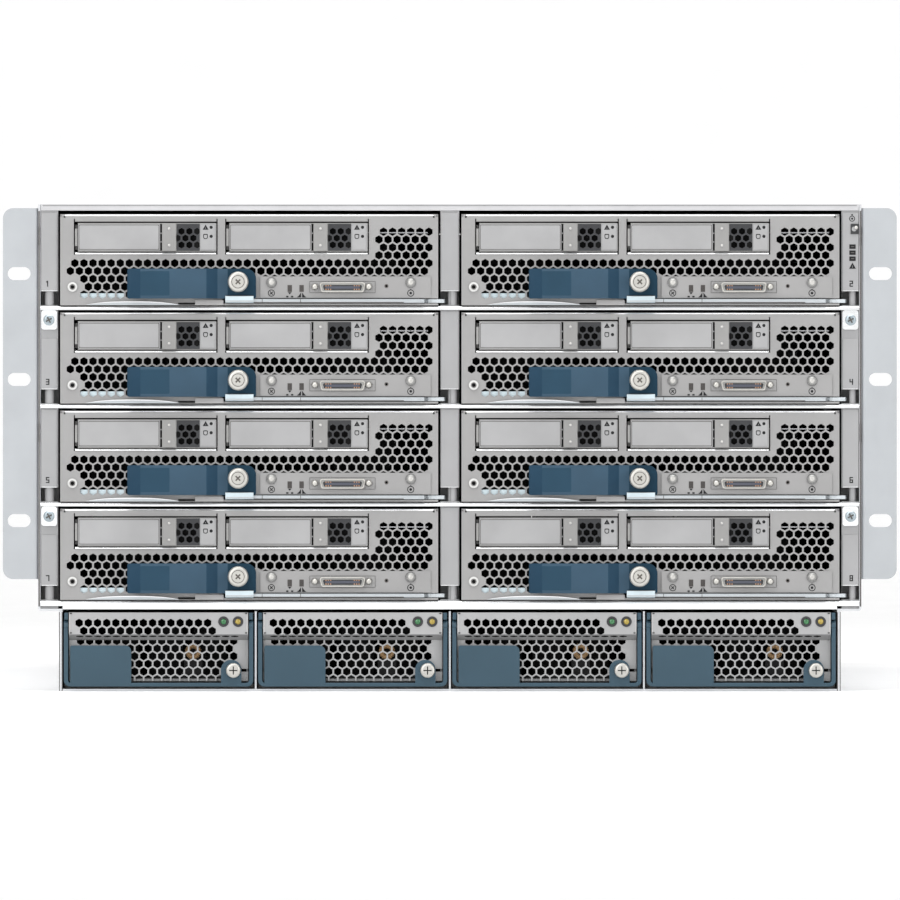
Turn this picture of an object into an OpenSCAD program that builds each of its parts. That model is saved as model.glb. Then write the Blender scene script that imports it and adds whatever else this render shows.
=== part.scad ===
// Blade server chassis: eight half-width blade servers and four power supplies in a
// six-unit 19-inch rack case, with fans, I/O modules and power inlets at the rear.
// Millimetres, +Z up, front faces -Y. The origin is under the middle of the whole object.

/* [Rack mounting] */
// Width over both rack ears
panel_w = 482.6; // [482:0.1:483.2]
// Distance between the left and right columns of rack slots
rack_span = 465.1; // [464.5:0.1:465.7]
// Height from the middle pair of rack slots up to the top pair
rack_upper_step = 57.15; // [57:0.05:57.3]
// Height from the bottom pair of rack slots up to the middle pair
rack_lower_step = 76.2; // [76:0.05:76.4]
// Height of the bottom pair of rack slots
rack_low_z = 92.2; // [90:0.1:96]
// Width of a rack slot
rack_slot_h = 7; // [6.5:0.1:7.5]
// End-to-end length of a rack slot
rack_slot_l = 12.4; // [11:0.1:13]
// Thickness of a rack ear
ear_t = 2; // [1.6:0.1:2.5]
// Height of a rack ear
ear_h = 200.3; // [190:0.1:205]
// Lower end of a rack ear
ear_z = 60.6; // [58:0.1:64]
// Length of the ear's flange along the side of the case
ear_flange = 44; // [36:1:60]
// Radius of the ear's outer corners
ear_corner_r = 5.6; // [3:0.1:8]

/* [Case] */
// Depth of the case
case_d = 812.8; // [800:0.1:840]
// Thickness of the case sheet
sheet_t = 1.2; // [1:0.1:1.4]
// Inside radius of every bend in sheet
bend_in = 0.4; // [0.3:0.1:0.6]
// Thickness of the lower pan's floor
pan_t = 1.3; // [1:0.1:1.6]
// Thickness of the lower pan's hemmed side walls
pan_wall_t = 1.9; // [1.6:0.1:2.2]
// Width of a side post
side_post_w = 9.55; // [9:0.05:11]
// Width of the centre post between the two columns of blades
centre_post_w = 10.2; // [10:0.1:12]
// Height of the window at the foot of each post
post_window_h = 7.5; // [6.5:0.1:9]
// Height of a shelf's front hem
shelf_hem_h = 2.2; // [2:0.1:2.8]
// Height of the blade floor's front hem
floor_hem_h = 4.8; // [4.4:0.1:5.4]
// Height of the top cover's front hem
cover_hem_h = 3.4; // [2.8:0.1:4]
// Height of the tab that fixes a shelf to its post
tab_h = 12.8; // [11:0.1:14]
// Running gap under every blade and supply
run_gap = 0.3; // [0.2:0.05:0.4]

/* [Blade] */
// Width of a blade
blade_w = 204; // [203:0.1:205]
// Height of a blade
blade_h = 49.2; // [49:0.1:50]
// Length of a blade
blade_len = 608; // [600:1:616]
// Gap beside a blade
blade_side_gap = 1.2; // [0.8:0.05:1.5]
// Gap over a blade
blade_head_gap = 1.3; // [1:0.05:1.6]
// How far a blade's front stands out of the case
blade_proud = 1.5; // [1.3:0.1:2]
// Thickness of a blade's sheet
blade_t = 1; // [0.8:0.05:1.1]
// Pitch of the hexagonal holes
hex_pitch = 4.9; // [4.7:0.05:5]
// Width of a hexagonal hole across its flats
hex_flat = 4; // [3.6:0.05:4.1]
// Distance from the blade's left edge to the first full row's first hole
hex_x = 7.9; // [7.6:0.1:8.2]
// Height of the lowest holes over the blade's foot
hex_z = 5.8; // [5.6:0.1:6]
// Width of a drive bay's opening
bay_w = 77.6; // [77.2:0.1:78]
// Height of a drive bay's opening
bay_h = 16.4; // [16.2:0.1:16.8]
// Distance from the blade's left edge to its left drive bay
bay_x = 7.35; // [7.2:0.05:7.5]
// Web between the two drive bays
bay_web = 4.1; // [3.9:0.1:4.3]
// Height of the drive bays over the blade's foot
bay_z = 28.5; // [28.3:0.1:28.7]

/* [Blade lever] */
// Distance from the blade's right edge to the lever's pivot
pivot_in = 4.5; // [4.2:0.1:4.8]
// Distance from the blade's front to the lever's pivot
pivot_back = 6; // [5.6:0.1:6.4]
// Radius of the pivot pin
pivot_r = 2; // [1.8:0.05:2.2]
// Radial clearance of pins in their holes
pin_fit = 0.06; // [0.04:0.01:0.08]
// Thickness of the lever's arm
arm_t = 2; // [1.8:0.1:2.1]
// Width of the lever's grip
grip_w = 69.4; // [66:0.1:71]
// Height of the lever's grip
grip_h = 16.2; // [15:0.1:16.5]
// Thickness of the lever's grip
grip_t = 1.8; // [1.6:0.1:2.2]
// Finger gap behind the lever's grip
finger_gap = 6.5; // [6:0.1:8]
// Diameter of the lever's thumbscrew
thumb_d = 11.1; // [10:0.1:12]

/* [Drive] */
// Gap beside a drive carrier in its bay
drive_side_gap = 0.65; // [0.5:0.05:0.8]
// Gap under and over a drive carrier in its bay
drive_gap = 0.5; // [0.4:0.05:0.6]
// Length of a drive carrier
drive_len = 104; // [100:1:108]

/* [Power supply] */
// Width of a supply over its handle
supply_w = 102.2; // [101.8:0.1:102.6]
// Height of a supply
supply_h = 41; // [40.6:0.1:41.6]
// Length of a supply
supply_len = 575; // [560:1:590]
// Gap beside a supply
supply_side_gap = 0.8; // [0.6:0.05:1]
// Gap over a supply
supply_head_gap = 1.7; // [1.4:0.1:2]
// Thickness of the walls between supplies
divider_t = 1; // [0.8:0.1:1.2]
// Thickness of a supply's sheet
supply_t = 1; // [0.8:0.1:1.2]
// Thickness of the arms of the supply's handle
handle_t = 2.3; // [2.1:0.1:2.5]
// Depth of the step in the supply's front
supply_step = 4.6; // [4.4:0.1:5]
// How far a supply's front stands out of the case
supply_proud = 4; // [3:0.1:6]

/* [Rear] */
// Width of an I/O module's cell
io_cell_w = 50; // [48:0.5:52]
// Depth of a fan housing
fan_d = 70; // [60:1:90]
// Thickness of the fan housing beside its bore
fan_rim = 2.2; // [1.8:0.1:3]
// Gap between a fan's blades and the bore
tip_gap = 1.2; // [0.8:0.1:1.6]
// Radius of a fan's hub
hub_r = 17; // [14:0.5:19]
// Radius of a fan's shaft
shaft_r = 2; // [1.5:0.1:2.5]
// Length of a fan's hub
hub_l = 34; // [30:1:38]
// Thickness of the hub's closed front
hub_cap = 3; // [2:0.5:4]
// Length of a fan's motor, behind its hub
motor_l = 8; // [6:0.5:10]
// Width of a fan vane, measured along its slope
vane_l = 30; // [24:1:34]
// Thickness of a fan vane
vane_t = 2; // [1.5:0.1:2.5]
// Width of a power inlet's socket
inlet_w = 27; // [26:0.1:28]
// Height of a power inlet's socket
inlet_h = 19; // [18.5:0.1:20]
// Depth of a power inlet's socket
inlet_d = 17; // [16:0.1:19]

/* [Hidden] */
$fn = 48;
rows = 4;
slots = 8;
supplies = 4;
fans = 8;
fan_vanes = 7;
slack = 0.1;                 // between separate pieces that lie on each other
cut = 1;                     // how far a cutting shape runs past the face it cuts

// Heights, from the floor up
supply_z = pan_t + run_gap;
hem_z = supply_z + supply_h + supply_head_gap;
floor_z = hem_z + floor_hem_h;
slot_pitch = blade_h + run_gap + shelf_hem_h + blade_head_gap;
cover_rise = sheet_t + 0.7;
case_h = floor_z + rows * slot_pitch + cover_rise;
wall_z = hem_z - 0.9;

// Widths, from the middle out
bay_cell_w = blade_w + 2 * blade_side_gap;
post_x = centre_post_w / 2 + bay_cell_w;
case_w = 2 * (post_x + side_post_w + sheet_t);
inner_x = case_w / 2 - sheet_t;
supply_pitch = supply_w + divider_t + 2 * supply_side_gap;
lower_w = supplies * supply_pitch - divider_t + 2 * pan_wall_t;

// Depths, from the front edge of the case back
socket_t = 5.2;
board_t = 3.2;
midplane_y = blade_len - blade_proud + run_gap + socket_t;
rear_y = midplane_y + board_t;
bend_r = sheet_t + bend_in;
blade_bend_r = blade_t + bend_in;
post_y = 0.6;
keeper_y = 13.2;
window_y = keeper_y - slack;
post_flange = 26;
notch_y = post_flange + 2;

// Lever
arm_z = blade_t + 0.35;
notch_h = arm_z + arm_t + 0.4;
notch_x = 87.5;
pivot_x = blade_w - pivot_in;
arm_front = -2.5;
hook_out = 4.3;
grip_x = 36.35;
grip_z = notch_h - 0.2;
grip_low_y = -2 - grip_t;
grip_high_y = -finger_gap - grip_t;
grip_corner_r = 5.2;
tab_x = 89.2;
tab_w = 15.2;
thumb_x = 96.1;
thumb_z = 12.6;
guide_x = 6.6;
guide_z = 9.9;
button_x = [114, 189.2];
button_z = 12.3;
button_r = 2.6;
lamp_x = [123.9, 130.3];
lamp_z = 9.1;
reset_x = 176.1;
console_x = 134.6;
console_z = 6.7;
console_w = 35.5;
console_h = 6.3;
thumb_l = 5.6;
thumb_y = grip_low_y - slack - thumb_l;

rear_grab = 16;              // how far handles stand out behind the case
front_reach = -blade_proud + min(thumb_y, grip_high_y);
rear_reach = case_d + rear_grab;
mid_y = (front_reach + rear_reach) / 2;

// Small fittings
screw_r = 2;
screw_head_r = 3.9;
screw_head_t = 1.6;
ear_screw_z = [for (z = [0:3]) ear_z + 14 + z * (ear_h - 28) / 3];
ear_screw_y = ear_flange - 9;
shelf_tab_x = post_x + side_post_w / 2;
shelf_tab_w = side_post_w - 1;
tab_screw_drop = 7.6;
floor_leg_x = post_x + 4;
locator_z = case_h - 13.4;
locator_h = 5.6;
locator_w = 4;
locator_x = post_x + side_post_w - locator_w - 0.8;
socket_x = 66;
socket_w = 72;
socket_z = 8;
socket_h = 12;

// Rear cells
rear_head = case_h - sheet_t - slack;
side_inner = inner_x - sheet_t - 4 * slack;
fan_split_z = (floor_z + rear_head) / 2;
fan_cell_w = (side_inner - io_cell_w) / 2;
fan_w = fan_cell_w - sheet_t - 4 * slack;
fan_h = fan_split_z - sheet_t / 2 - floor_z - 4 * slack;
fan_bore = min(fan_w, fan_h) / 2 - fan_rim;
fan_plate_t = 2;
fan_back = case_d - slack;
hub_gap = 1;
hub_back = -fan_plate_t - motor_l - hub_gap;
io_w = io_cell_w - sheet_t - 0.8;
io_foot = floor_z + 0.5;
io_h = rear_head - sheet_t - 0.4 - io_foot;
io_front = rear_y + 3;
io_face_t = 1.6;
port_w = 18.6;
port_h = 9;
port_d = 46;
port_pitch = 15;
inlet_body_w = inlet_w + 6;
inlet_body_h = inlet_h + 6;
inlet_z = 1 + wall_z / 2;
board_y = supply_len - supply_proud + 1;

// Supply front, measured from the supply's own lower left front corner
handle_y = 5;
handle_z = supply_h - 8;
handle_half = 4;
handle_pin_r = 1.6;
front_in = handle_t + 0.5;
front_foot = 4;
front_back = 14;
slope_top = supply_h - 11.7;
slope_foot = supply_h - 14.4;
upper_hex_x = 8.3;
upper_pitch = hex_pitch + 0.05;
lower_hex_x = 8.97;
lower_pitch = hex_pitch - 0.04;
choke_x = 69.5;
choke_z = 19.8;
choke_r = 4.4;
bay_head = 0.3;
relief_l = 1.8;
grille_x = 57.45;
grille_pitch = 4.27;
grille_flat = 3.3;
latch_r = 46;
strip_l = 47;
strip_r = 54.6;

function slot_x(n) = n % 2 == 1 ? -centre_post_w / 2 - blade_side_gap - blade_w
                                : centre_post_w / 2 + blade_side_gap;
function shelf_z(row) = floor_z + (rows - 1 - row) * slot_pitch;
function slot_row(n) = floor((n - 1) / 2);
function slot_z(n) = shelf_z(slot_row(n)) + run_gap;
function supply_x(n) = (n - 1 - supplies / 2) * supply_pitch + divider_t / 2 + supply_side_gap;

// ---- shared shapes ----

// Moves a piece from the case's front edge to the object's origin
module seat() translate([0, -mid_y, 0]) children();

// Extrudes an outline drawn in X and Z from y0 to y1
module along_y(y0, y1) translate([0, y1, 0]) rotate([90, 0, 0]) linear_extrude(y1 - y0) children();

// Extrudes an outline drawn in Y and Z from x0 to x1
module along_x(x0, x1) translate([x0, 0, 0]) rotate([90, 0, 90]) linear_extrude(x1 - x0) children();

// Extrudes an outline drawn in X and Y from z0 to z1
module along_z(z0, z1) translate([0, 0, z0]) linear_extrude(z1 - z0) children();

// A box between two corners
module block(low, high) translate(low) cube(high - low);

// A rectangle between two corners
module patch(low, high) translate(low) square(high - low);

// A round bar along Y
module rod_y(x, z, r, y0, y1) translate([x, y1, z]) rotate([90, 0, 0]) cylinder(r = r, h = y1 - y0);

// A rectangle with rounded corners, from the origin
module round_patch(w, h, r) {
    translate([r, 0]) square([w - 2 * r, h]);
    translate([0, r]) square([w, h - 2 * r]);
    for (x = [r, w - r], y = [r, h - r]) translate([x, y]) circle(r);
}

// A slot with round ends, centred on the origin
module slot_patch(l, w) {
    square([l - w, w], center = true);
    for (x = [w - l, l - w]) translate([x / 2, 0]) circle(w / 2);
}

// A quarter of a ring, in the second quadrant
module quarter_ring(r, t) intersection() {
    difference() {
        circle(r);
        circle(r - t);
    }
    translate([-r, 0]) square(r);
}

// A sheet that runs back from its front face and bends down; the origin is the outer corner
module bent_edge(back, drop, t, r) {
    translate([r, -t]) square([back - r, t]);
    translate([0, -drop]) square([t, drop - r]);
    translate([r, -r]) quarter_ring(r, t);
}

// A hexagonal hole with its points up and down
module hexagon(flat) rotate(30) circle(d = flat / cos(30), $fn = 6);

// ---- case ----

// A pan head screw along Y, its head towards the front
module pan_screw(x, y, z, l) {
    difference() {
        union() {
            rod_y(x, z, screw_head_r, y - screw_head_t, y);
            rod_y(x, z, screw_r, y - slack, y + l);
        }
        for (a = [0, 90]) translate([x, y - screw_head_t - cut, z]) rotate([0, a, 0])
            cube([4.4, 2 * cut + 1.4, 0.9], center = true);
    }
}

module lower_pan() color("gainsboro") seat() {
    top = wall_z - slack;
    inner = lower_w / 2 - pan_wall_t;
    along_y(0, case_d) patch([-inner + slack, 0], [inner - slack, pan_t]);
    for (side = [-1, 1])
        along_y(0, case_d) patch([side * (inner + pan_wall_t / 2) - pan_wall_t / 2, 0],
                                 [side * (inner + pan_wall_t / 2) + pan_wall_t / 2, top]);
    for (n = [1:supplies - 1])
        translate([(n - supplies / 2) * supply_pitch - divider_t / 2, 0, pan_t + slack])
            cube([divider_t, board_y - slack, top - pan_t - 2 * slack]);
    along_y(case_d - sheet_t, case_d) difference() {
        patch([-inner + slack, pan_t + slack], [inner - slack, top]);
        for (n = [1:supplies]) {
            x = supply_x(n) + supply_w / 2;
            patch([x - inlet_body_w / 2 - slack, inlet_z - inlet_body_h / 2 - slack],
                  [x + inlet_body_w / 2 + slack, inlet_z + inlet_body_h / 2 + slack]);
            for (side = [-1, 1], i = [0:2], j = [-1:1])
                translate([x + side * (25 + 7.5 * i), inlet_z + 8 * j]) circle(2.6);
        }
    }
}

module side_wall() {
    flange_x = lower_w / 2 - pan_wall_t;
    difference() {
        along_y(0, case_d) {
            patch([inner_x, wall_z + bend_r], [inner_x + sheet_t, case_h - slack]);
            patch([flange_x, wall_z], [case_w / 2 - bend_r, wall_z + sheet_t]);
            translate([case_w / 2 - bend_r, wall_z + bend_r]) rotate(180) quarter_ring(bend_r, sheet_t);
        }
        // hook notches behind the front edge
        for (row = [0, 2], i = [0, 1])
            block([inner_x - cut, -cut, shelf_z(row) + 38 - 5.4 * i],
                  [inner_x + sheet_t + cut, 2, shelf_z(row) + 42.5 - 5.4 * i]);
        for (z = ear_screw_z)
            translate([inner_x - cut, ear_screw_y, z]) rotate([0, 90, 0])
                cylinder(r = screw_r + slack, h = sheet_t + 2 * cut);
        // slots for the air in front of the fans
        for (i = [0:7]) block([inner_x - cut, rear_y + 12 + 12 * i, case_h / 2 - 30],
                              [inner_x + sheet_t + cut, rear_y + 16 + 12 * i, case_h / 2 + 60]);
    }
}

module side_walls() color("lightgray") seat() {
    side_wall();
    mirror([1, 0, 0]) side_wall();
}

module top_cover() color("whitesmoke") seat() {
    half = inner_x - 2 * slack;
    translate([0, 0, case_h]) {
        along_x(-half, half) bent_edge(16, cover_hem_h, sheet_t, bend_r);
        along_y(15, case_d) patch([-half, -sheet_t], [half, 0]);
        for (side = [-1, 1])
            along_y(notch_y + 4, case_d) patch([side * (half - sheet_t / 2) - sheet_t / 2, -9],
                                               [side * (half - sheet_t / 2) + sheet_t / 2, -sheet_t / 2]);
        // stiffening ribs pressed up under the sheet
        for (x = [-130, 0, 130])
            translate([x - 20, 60, -sheet_t - 0.8]) cube([40, 520, 0.8 + sheet_t / 2]);
    }
}

// One of the two brackets that hold the case in a rack
module rack_ear() {
    out_x = panel_w / 2;
    side_x = case_w / 2 + slack;
    r = ear_t + bend_in;
    difference() {
        union() {
            along_y(0, ear_t) difference() {
                translate([side_x + r, ear_z]) {
                    round_patch(out_x - side_x - r, ear_h, ear_corner_r);
                    square([ear_corner_r, ear_h]);
                }
                for (z = [0, rack_lower_step, rack_lower_step + rack_upper_step])
                    translate([rack_span / 2, rack_low_z + z]) slot_patch(rack_slot_l, rack_slot_h);
            }
            along_z(ear_z, ear_z + ear_h) {
                translate([side_x, r]) square([ear_t, ear_flange - r]);
                translate([side_x + r, r]) mirror([0, 1]) quarter_ring(r, ear_t);
            }
        }
        for (z = ear_screw_z)
            translate([side_x - cut, ear_screw_y, z]) rotate([0, 90, 0])
                cylinder(r = screw_r + slack, h = ear_t + 2 * cut);
    }
    for (z = ear_screw_z) translate([0, ear_screw_y, z]) rotate([0, 90, 0]) {
        translate([0, 0, inner_x - 1]) cylinder(r = screw_r, h = side_x + ear_t + slack + 0.4 - inner_x + 1);
        translate([0, 0, side_x + ear_t + slack]) cylinder(r = screw_head_r, h = 0.8);
    }
}

module rack_ears() color("gainsboro") seat() {
    rack_ear();
    mirror([1, 0, 0]) rack_ear();
}

// The outline in plan of a sheet that clears both side posts
module shelf_plan(front, back) {
    patch([-post_x + 3 * slack, front], [post_x - 3 * slack, back]);
    patch([-inner_x + 3 * slack, notch_y], [inner_x - 3 * slack, back]);
}

// Plate that holds a shelf to the face of a side post, with its screw
module shelf_tab(side) {
    difference() {
        along_y(-sheet_t, post_y - slack) translate([side * shelf_tab_x - shelf_tab_w / 2, -tab_h])
            round_patch(shelf_tab_w, tab_h - shelf_hem_h - slack, 1.5);
        rod_y(side * shelf_tab_x, -tab_screw_drop, screw_r + slack, -sheet_t - cut, post_y + cut);
    }
    pan_screw(side * shelf_tab_x, -sheet_t - slack, -tab_screw_drop, 6);
}

module bay_shelves() color("whitesmoke") seat() {
    back = midplane_y - run_gap;
    for (row = [0:rows - 2]) {
        tabs = row % 2 == 0;
        translate([0, 0, shelf_z(row)]) {
            translate([0, -sheet_t, 0]) {
                along_x(-inner_x + slack, inner_x - slack)
                    bent_edge(bend_r + slack, shelf_hem_h, sheet_t, bend_r);
                along_x(-post_x + 3 * slack, post_x - 3 * slack)
                    bent_edge(12, shelf_hem_h, sheet_t, bend_r);
            }
            along_z(-sheet_t, 0) shelf_plan(5, back);
            if (tabs) for (side = [-1, 1]) shelf_tab(side);
        }
    }
    // the floor of the lowest row, over the supplies
    hem_x = lower_w / 2 - pan_wall_t - slack;
    translate([0, 0, floor_z]) {
        translate([0, -sheet_t, 0]) {
            along_x(-hem_x, hem_x) bent_edge(12, floor_hem_h, sheet_t, bend_r);
            along_x(-inner_x + slack, inner_x - slack) bent_edge(bend_r + slack, 3, sheet_t, bend_r);
        }
        along_z(-sheet_t, 0) shelf_plan(5, case_d - sheet_t - slack);
        for (side = [-1, 1])
            along_y(notch_y, case_d - sheet_t - slack)
                patch([side * floor_leg_x - sheet_t / 2, wall_z + sheet_t + slack - floor_z],
                      [side * floor_leg_x + sheet_t / 2, -sheet_t / 2]);
    }
}

// A side post's outline in plan, on the right, from the edge that faces the blades
module side_post_plan() {
    w = side_post_w - 2 * slack;
    patch([0, 0], [w, sheet_t]);
    patch([0, 0], [sheet_t, keeper_y + sheet_t]);
    patch([0, keeper_y], [w, keeper_y + sheet_t]);
    patch([w - sheet_t, keeper_y], [w, post_flange]);
}

module side_post(locator) {
    foot = wall_z + sheet_t + slack;
    head = case_h - cover_hem_h - slack;
    difference() {
        translate([post_x, post_y, 0]) along_z(foot, head) side_post_plan();
        for (row = [0:rows - 1]) {
            block([post_x - cut, post_y - cut, shelf_z(row) + 0.4],
                  [inner_x + cut, post_y + window_y, shelf_z(row) + 0.4 + post_window_h]);
            if (row < rows - 1 && row % 2 == 0)
                rod_y(shelf_tab_x, shelf_z(row) - tab_screw_drop, screw_r + slack,
                      -cut, post_y + sheet_t + cut);
        }
        if (locator) block([locator_x, -cut, locator_z - locator_h / 2],
                           [locator_x + locator_w, post_y + sheet_t + cut, locator_z + locator_h / 2]);
    }
    if (locator) {
        difference() {
            block([locator_x + slack, post_y - 0.9, locator_z - locator_h / 2 + slack],
                  [locator_x + locator_w - slack, post_y + 6, locator_z + locator_h / 2 - slack]);
            rod_y(locator_x + locator_w / 2, locator_z, 1.4, -cut - 1, 4);
        }
        rod_y(locator_x + locator_w / 2, locator_z, 1.3, post_y - 1.5, 3.9);
    }
}

// One row of the wall between the two columns of blades, with the post at its front
module centre_divider(row) {
    foot = shelf_z(row) + slack;
    head = row == 0 ? case_h - cover_hem_h - slack : shelf_z(row - 1) - sheet_t - slack;
    half = centre_post_w / 2;
    difference() {
        translate([0, post_y, 0]) along_z(foot, head) {
            patch([-half, 0], [half, sheet_t]);
            for (side = [-1, 1])
                patch([side * (half - sheet_t / 2) - sheet_t / 2, 0], [side * (half - sheet_t / 2) + sheet_t / 2, 10]);
            patch([-sheet_t / 2, 0], [sheet_t / 2, keeper_y + sheet_t]);
            patch([-half, keeper_y], [half, keeper_y + sheet_t]);
        }
        for (side = [-1, 1])
            block([side * (half + sheet_t) / 2 - half / 2 - cut / 2, post_y - cut, foot + 0.4],
                  [side * (half + sheet_t) / 2 + half / 2 + cut / 2, post_y + window_y, foot + 0.4 + post_window_h]);
    }
    along_z(foot, head)
        patch([-sheet_t / 2, post_y + keeper_y + sheet_t + slack], [sheet_t / 2, midplane_y - 1]);
}

module slot_posts() color("silver") seat() {
    side_post(true);
    mirror([1, 0, 0]) side_post(false);
    for (row = [0:rows - 1]) centre_divider(row);
}

// The circuit boards across the case that the blades and the supplies plug into
module midplane() color("darkgreen") seat() {
    half = inner_x - 1.4;
    along_y(midplane_y, rear_y) difference() {
        patch([-half, floor_z + slack], [half, case_h - 9.5]);
        for (n = [1:slots], i = [0:1])
            patch([slot_x(n) + 6 + 100 * i, slot_z(n) + 24], [slot_x(n) + 98 + 100 * i, slot_z(n) + 44]);
    }
    for (n = [1:slots]) difference() {
        block([slot_x(n) + socket_x, midplane_y - socket_t, slot_z(n) + socket_z],
              [slot_x(n) + socket_x + socket_w, midplane_y - slack, slot_z(n) + socket_z + socket_h]);
        for (j = [0, 1])
            block([slot_x(n) + socket_x + 3, midplane_y - socket_t - cut, slot_z(n) + socket_z + 2 + 5 * j],
                  [slot_x(n) + socket_x + socket_w - 3, midplane_y - 2, slot_z(n) + socket_z + 5 + 5 * j]);
    }
    // power distribution board behind the supplies, and its bus bars to the rear
    half_low = lower_w / 2 - pan_wall_t - 0.4;
    along_y(board_y, board_y + board_t) patch([-half_low, pan_t + slack], [half_low, wall_z - 2 * slack]);
    for (n = [1:supplies]) {
        x = supply_x(n) + supply_w / 2;
        for (side = [-1, 1])
            block([x + side * 12 - 5, board_y + board_t + slack, inlet_z - 2],
                  [x + side * 12 + 5, case_d - inlet_d - 8, inlet_z + 2]);
    }
}

// ---- rear ----

module rear_frame() color("silver") seat() {
    front = rear_y + 2 * slack;
    back = case_d - sheet_t - slack;
    foot = floor_z + slack;
    post_top = rear_head - sheet_t - slack;
    along_y(front, back) {
        for (x = [-io_cell_w, 0, io_cell_w]) patch([x - sheet_t / 2, foot], [x + sheet_t / 2, post_top]);
        patch([-io_cell_w - sheet_t / 2, rear_head - sheet_t], [io_cell_w + sheet_t / 2, rear_head]);
    }
    along_y(fan_back - fan_d, back) for (side = [-1, 1]) {
        patch([side * (io_cell_w + fan_cell_w) - sheet_t / 2, foot],
              [side * (io_cell_w + fan_cell_w) + sheet_t / 2, rear_head]);
        for (i = [0, 1]) translate([side * (io_cell_w + (i + 0.5) * fan_cell_w), 0])
            patch([-fan_w / 2, fan_split_z - sheet_t / 2], [fan_w / 2, fan_split_z + sheet_t / 2]);
    }
}

// Fans run from 1 at the top left to 8 at the bottom right, seen from the front
function fan_x(n) = let (c = (n - 1) % 4)
    c < 2 ? -io_cell_w - (1.5 - c) * fan_cell_w : io_cell_w + (c - 1.5) * fan_cell_w;
function fan_z(n) = fan_split_z + (n <= fans / 2 ? 1 : -1) * (sheet_t / 2 + 2 * slack + fan_h / 2);

// A fan's grille, motor and shaft; the origin is the middle of the grille's outer face
module fan_mount() {
    difference() {
        along_y(-fan_plate_t, 0) difference() {
            translate([-fan_w / 2, -fan_h / 2]) round_patch(fan_w, fan_h, 2);
            difference() {
                circle(fan_bore);
                for (a = [45, 135]) rotate(a) square([2 * fan_bore + 2, 3], center = true);
                for (r = [hub_r + 7:10:fan_bore - 3]) difference() {
                    circle(r + 0.8);
                    circle(r - 0.8);
                }
                circle(hub_r);
            }
            for (x = [-1, 1], z = [-1, 1])
                translate([x * (fan_w / 2 - 6), z * (fan_h / 2 - 6)]) circle(2.2);
        }
    }
    rod_y(0, 0, hub_r, -fan_plate_t - motor_l, -fan_plate_t / 2);
    rod_y(0, 0, shaft_r, hub_back - hub_l + hub_cap + hub_gap / 2, -fan_plate_t - motor_l + hub_gap);
}

module fan_mounts() color("dimgray") seat() {
    for (n = [1:fans]) translate([fan_x(n), fan_back, fan_z(n)]) {
        fan_mount();
        // the duct round the blades, in front of the grille
        for (side = [-1, 1]) {
            block([side * (fan_w / 2 - 0.8) - 0.8, -fan_d + slack, -fan_h / 2],
                  [side * (fan_w / 2 - 0.8) + 0.8, -fan_plate_t - slack, fan_h / 2]);
            block([-fan_w / 2 + 1.7, -fan_d + slack, side * (fan_h / 2 - 0.8) - 0.8],
                  [fan_w / 2 - 1.7, -fan_plate_t - slack, side * (fan_h / 2 - 0.8) + 0.8]);
        }
    }
}

// A fan's turning part, round the motor's shaft
module fan_rotor(n) color("#2b2b2e") seat() translate([fan_x(n), fan_back, fan_z(n)]) {
    hub_front = hub_back - hub_l;
    r = fan_bore - tip_gap;
    difference() {
        union() {
            rod_y(0, 0, hub_r, hub_front, hub_back);
            for (i = [0:fan_vanes - 1]) rotate([0, i * 360 / fan_vanes, 0])
                translate([0, (hub_front + hub_back) / 2, 0]) rotate([0, 0, 38])
                    translate([-vane_t / 2, -vane_l / 2, hub_r - 3]) cube([vane_t, vane_l, r - hub_r + 1]);
        }
        rod_y(0, 0, shaft_r + pin_fit, hub_front + hub_cap, hub_back + cut);
        rod_y(0, 0, 2 * shaft_r, hub_back - 2 * hub_gap, hub_back + cut);
    }
}

module io_module(n) color("lightslategray") seat()
    translate([n == 1 ? -io_cell_w + sheet_t / 2 + 0.4 : sheet_t / 2 + 0.4, 0, io_foot]) {
    face_y = case_d - io_face_t;
    port_x = io_w / 2 - port_w / 2 + 4;
    // face, tray and board
    along_y(face_y, case_d) difference() {
        translate([0, 0]) round_patch(io_w, io_h, 1);
        for (i = [0:4]) translate([port_x, 34 + port_pitch * i]) square([port_w, port_h]);
        for (i = [0:4], j = [0:8]) translate([10 + 7 * i, 122 + 7 * j]) circle(2.2);
        for (z = [io_h - 12, 12]) translate([io_w / 2, z]) circle(screw_r + slack);
    }
    block([0, io_front, 0], [1, face_y - slack, io_h]);
    block([4, io_front + 12, 3], [5.6, face_y - 2, io_h - 3]);
    for (y = [io_front + 20, face_y - 12], z = [12, io_h - 12])
        translate([0.5, y, z]) rotate([0, 90, 0]) cylinder(r = 3, h = 3.4);
    for (i = [0:4]) translate([port_x, 0, 34 + port_pitch * i]) difference() {
        block([-0.8, face_y - port_d, -0.8], [port_w + 0.8, face_y - slack, port_h + 0.8]);
        block([0, face_y - port_d + 1, 0], [port_w, face_y + cut, port_h]);
    }
    for (z = [130, 165]) block([6, io_front + 60, z], [26, io_front + 100, z + 24]);
    // pull handle
    translate([io_w / 2 - 4, case_d + slack, 0]) along_x(0, 8) difference() {
        translate([0, 14]) round_patch(rear_grab - slack, 17, 3);
        translate([-3, 17]) round_patch(rear_grab, 11, 2);
    }
    for (z = [io_h - 12]) {
        rod_y(io_w / 2, z, screw_r, face_y - 3, case_d + 1);
        rod_y(io_w / 2, z, 4.5, case_d + slack, case_d + 7);
    }
}

module power_inlets() color("#232326") seat()
    for (n = [1:supplies]) translate([supply_x(n) + supply_w / 2, case_d, inlet_z]) {
        difference() {
            block([-inlet_body_w / 2, -inlet_d - 5, -inlet_body_h / 2], [inlet_body_w / 2, -slack, inlet_body_h / 2]);
            along_y(-inlet_d, cut) translate([-inlet_w / 2, -inlet_h / 2]) round_patch(inlet_w, inlet_h, 2.5);
        }
    }

// ---- blade ----

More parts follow.
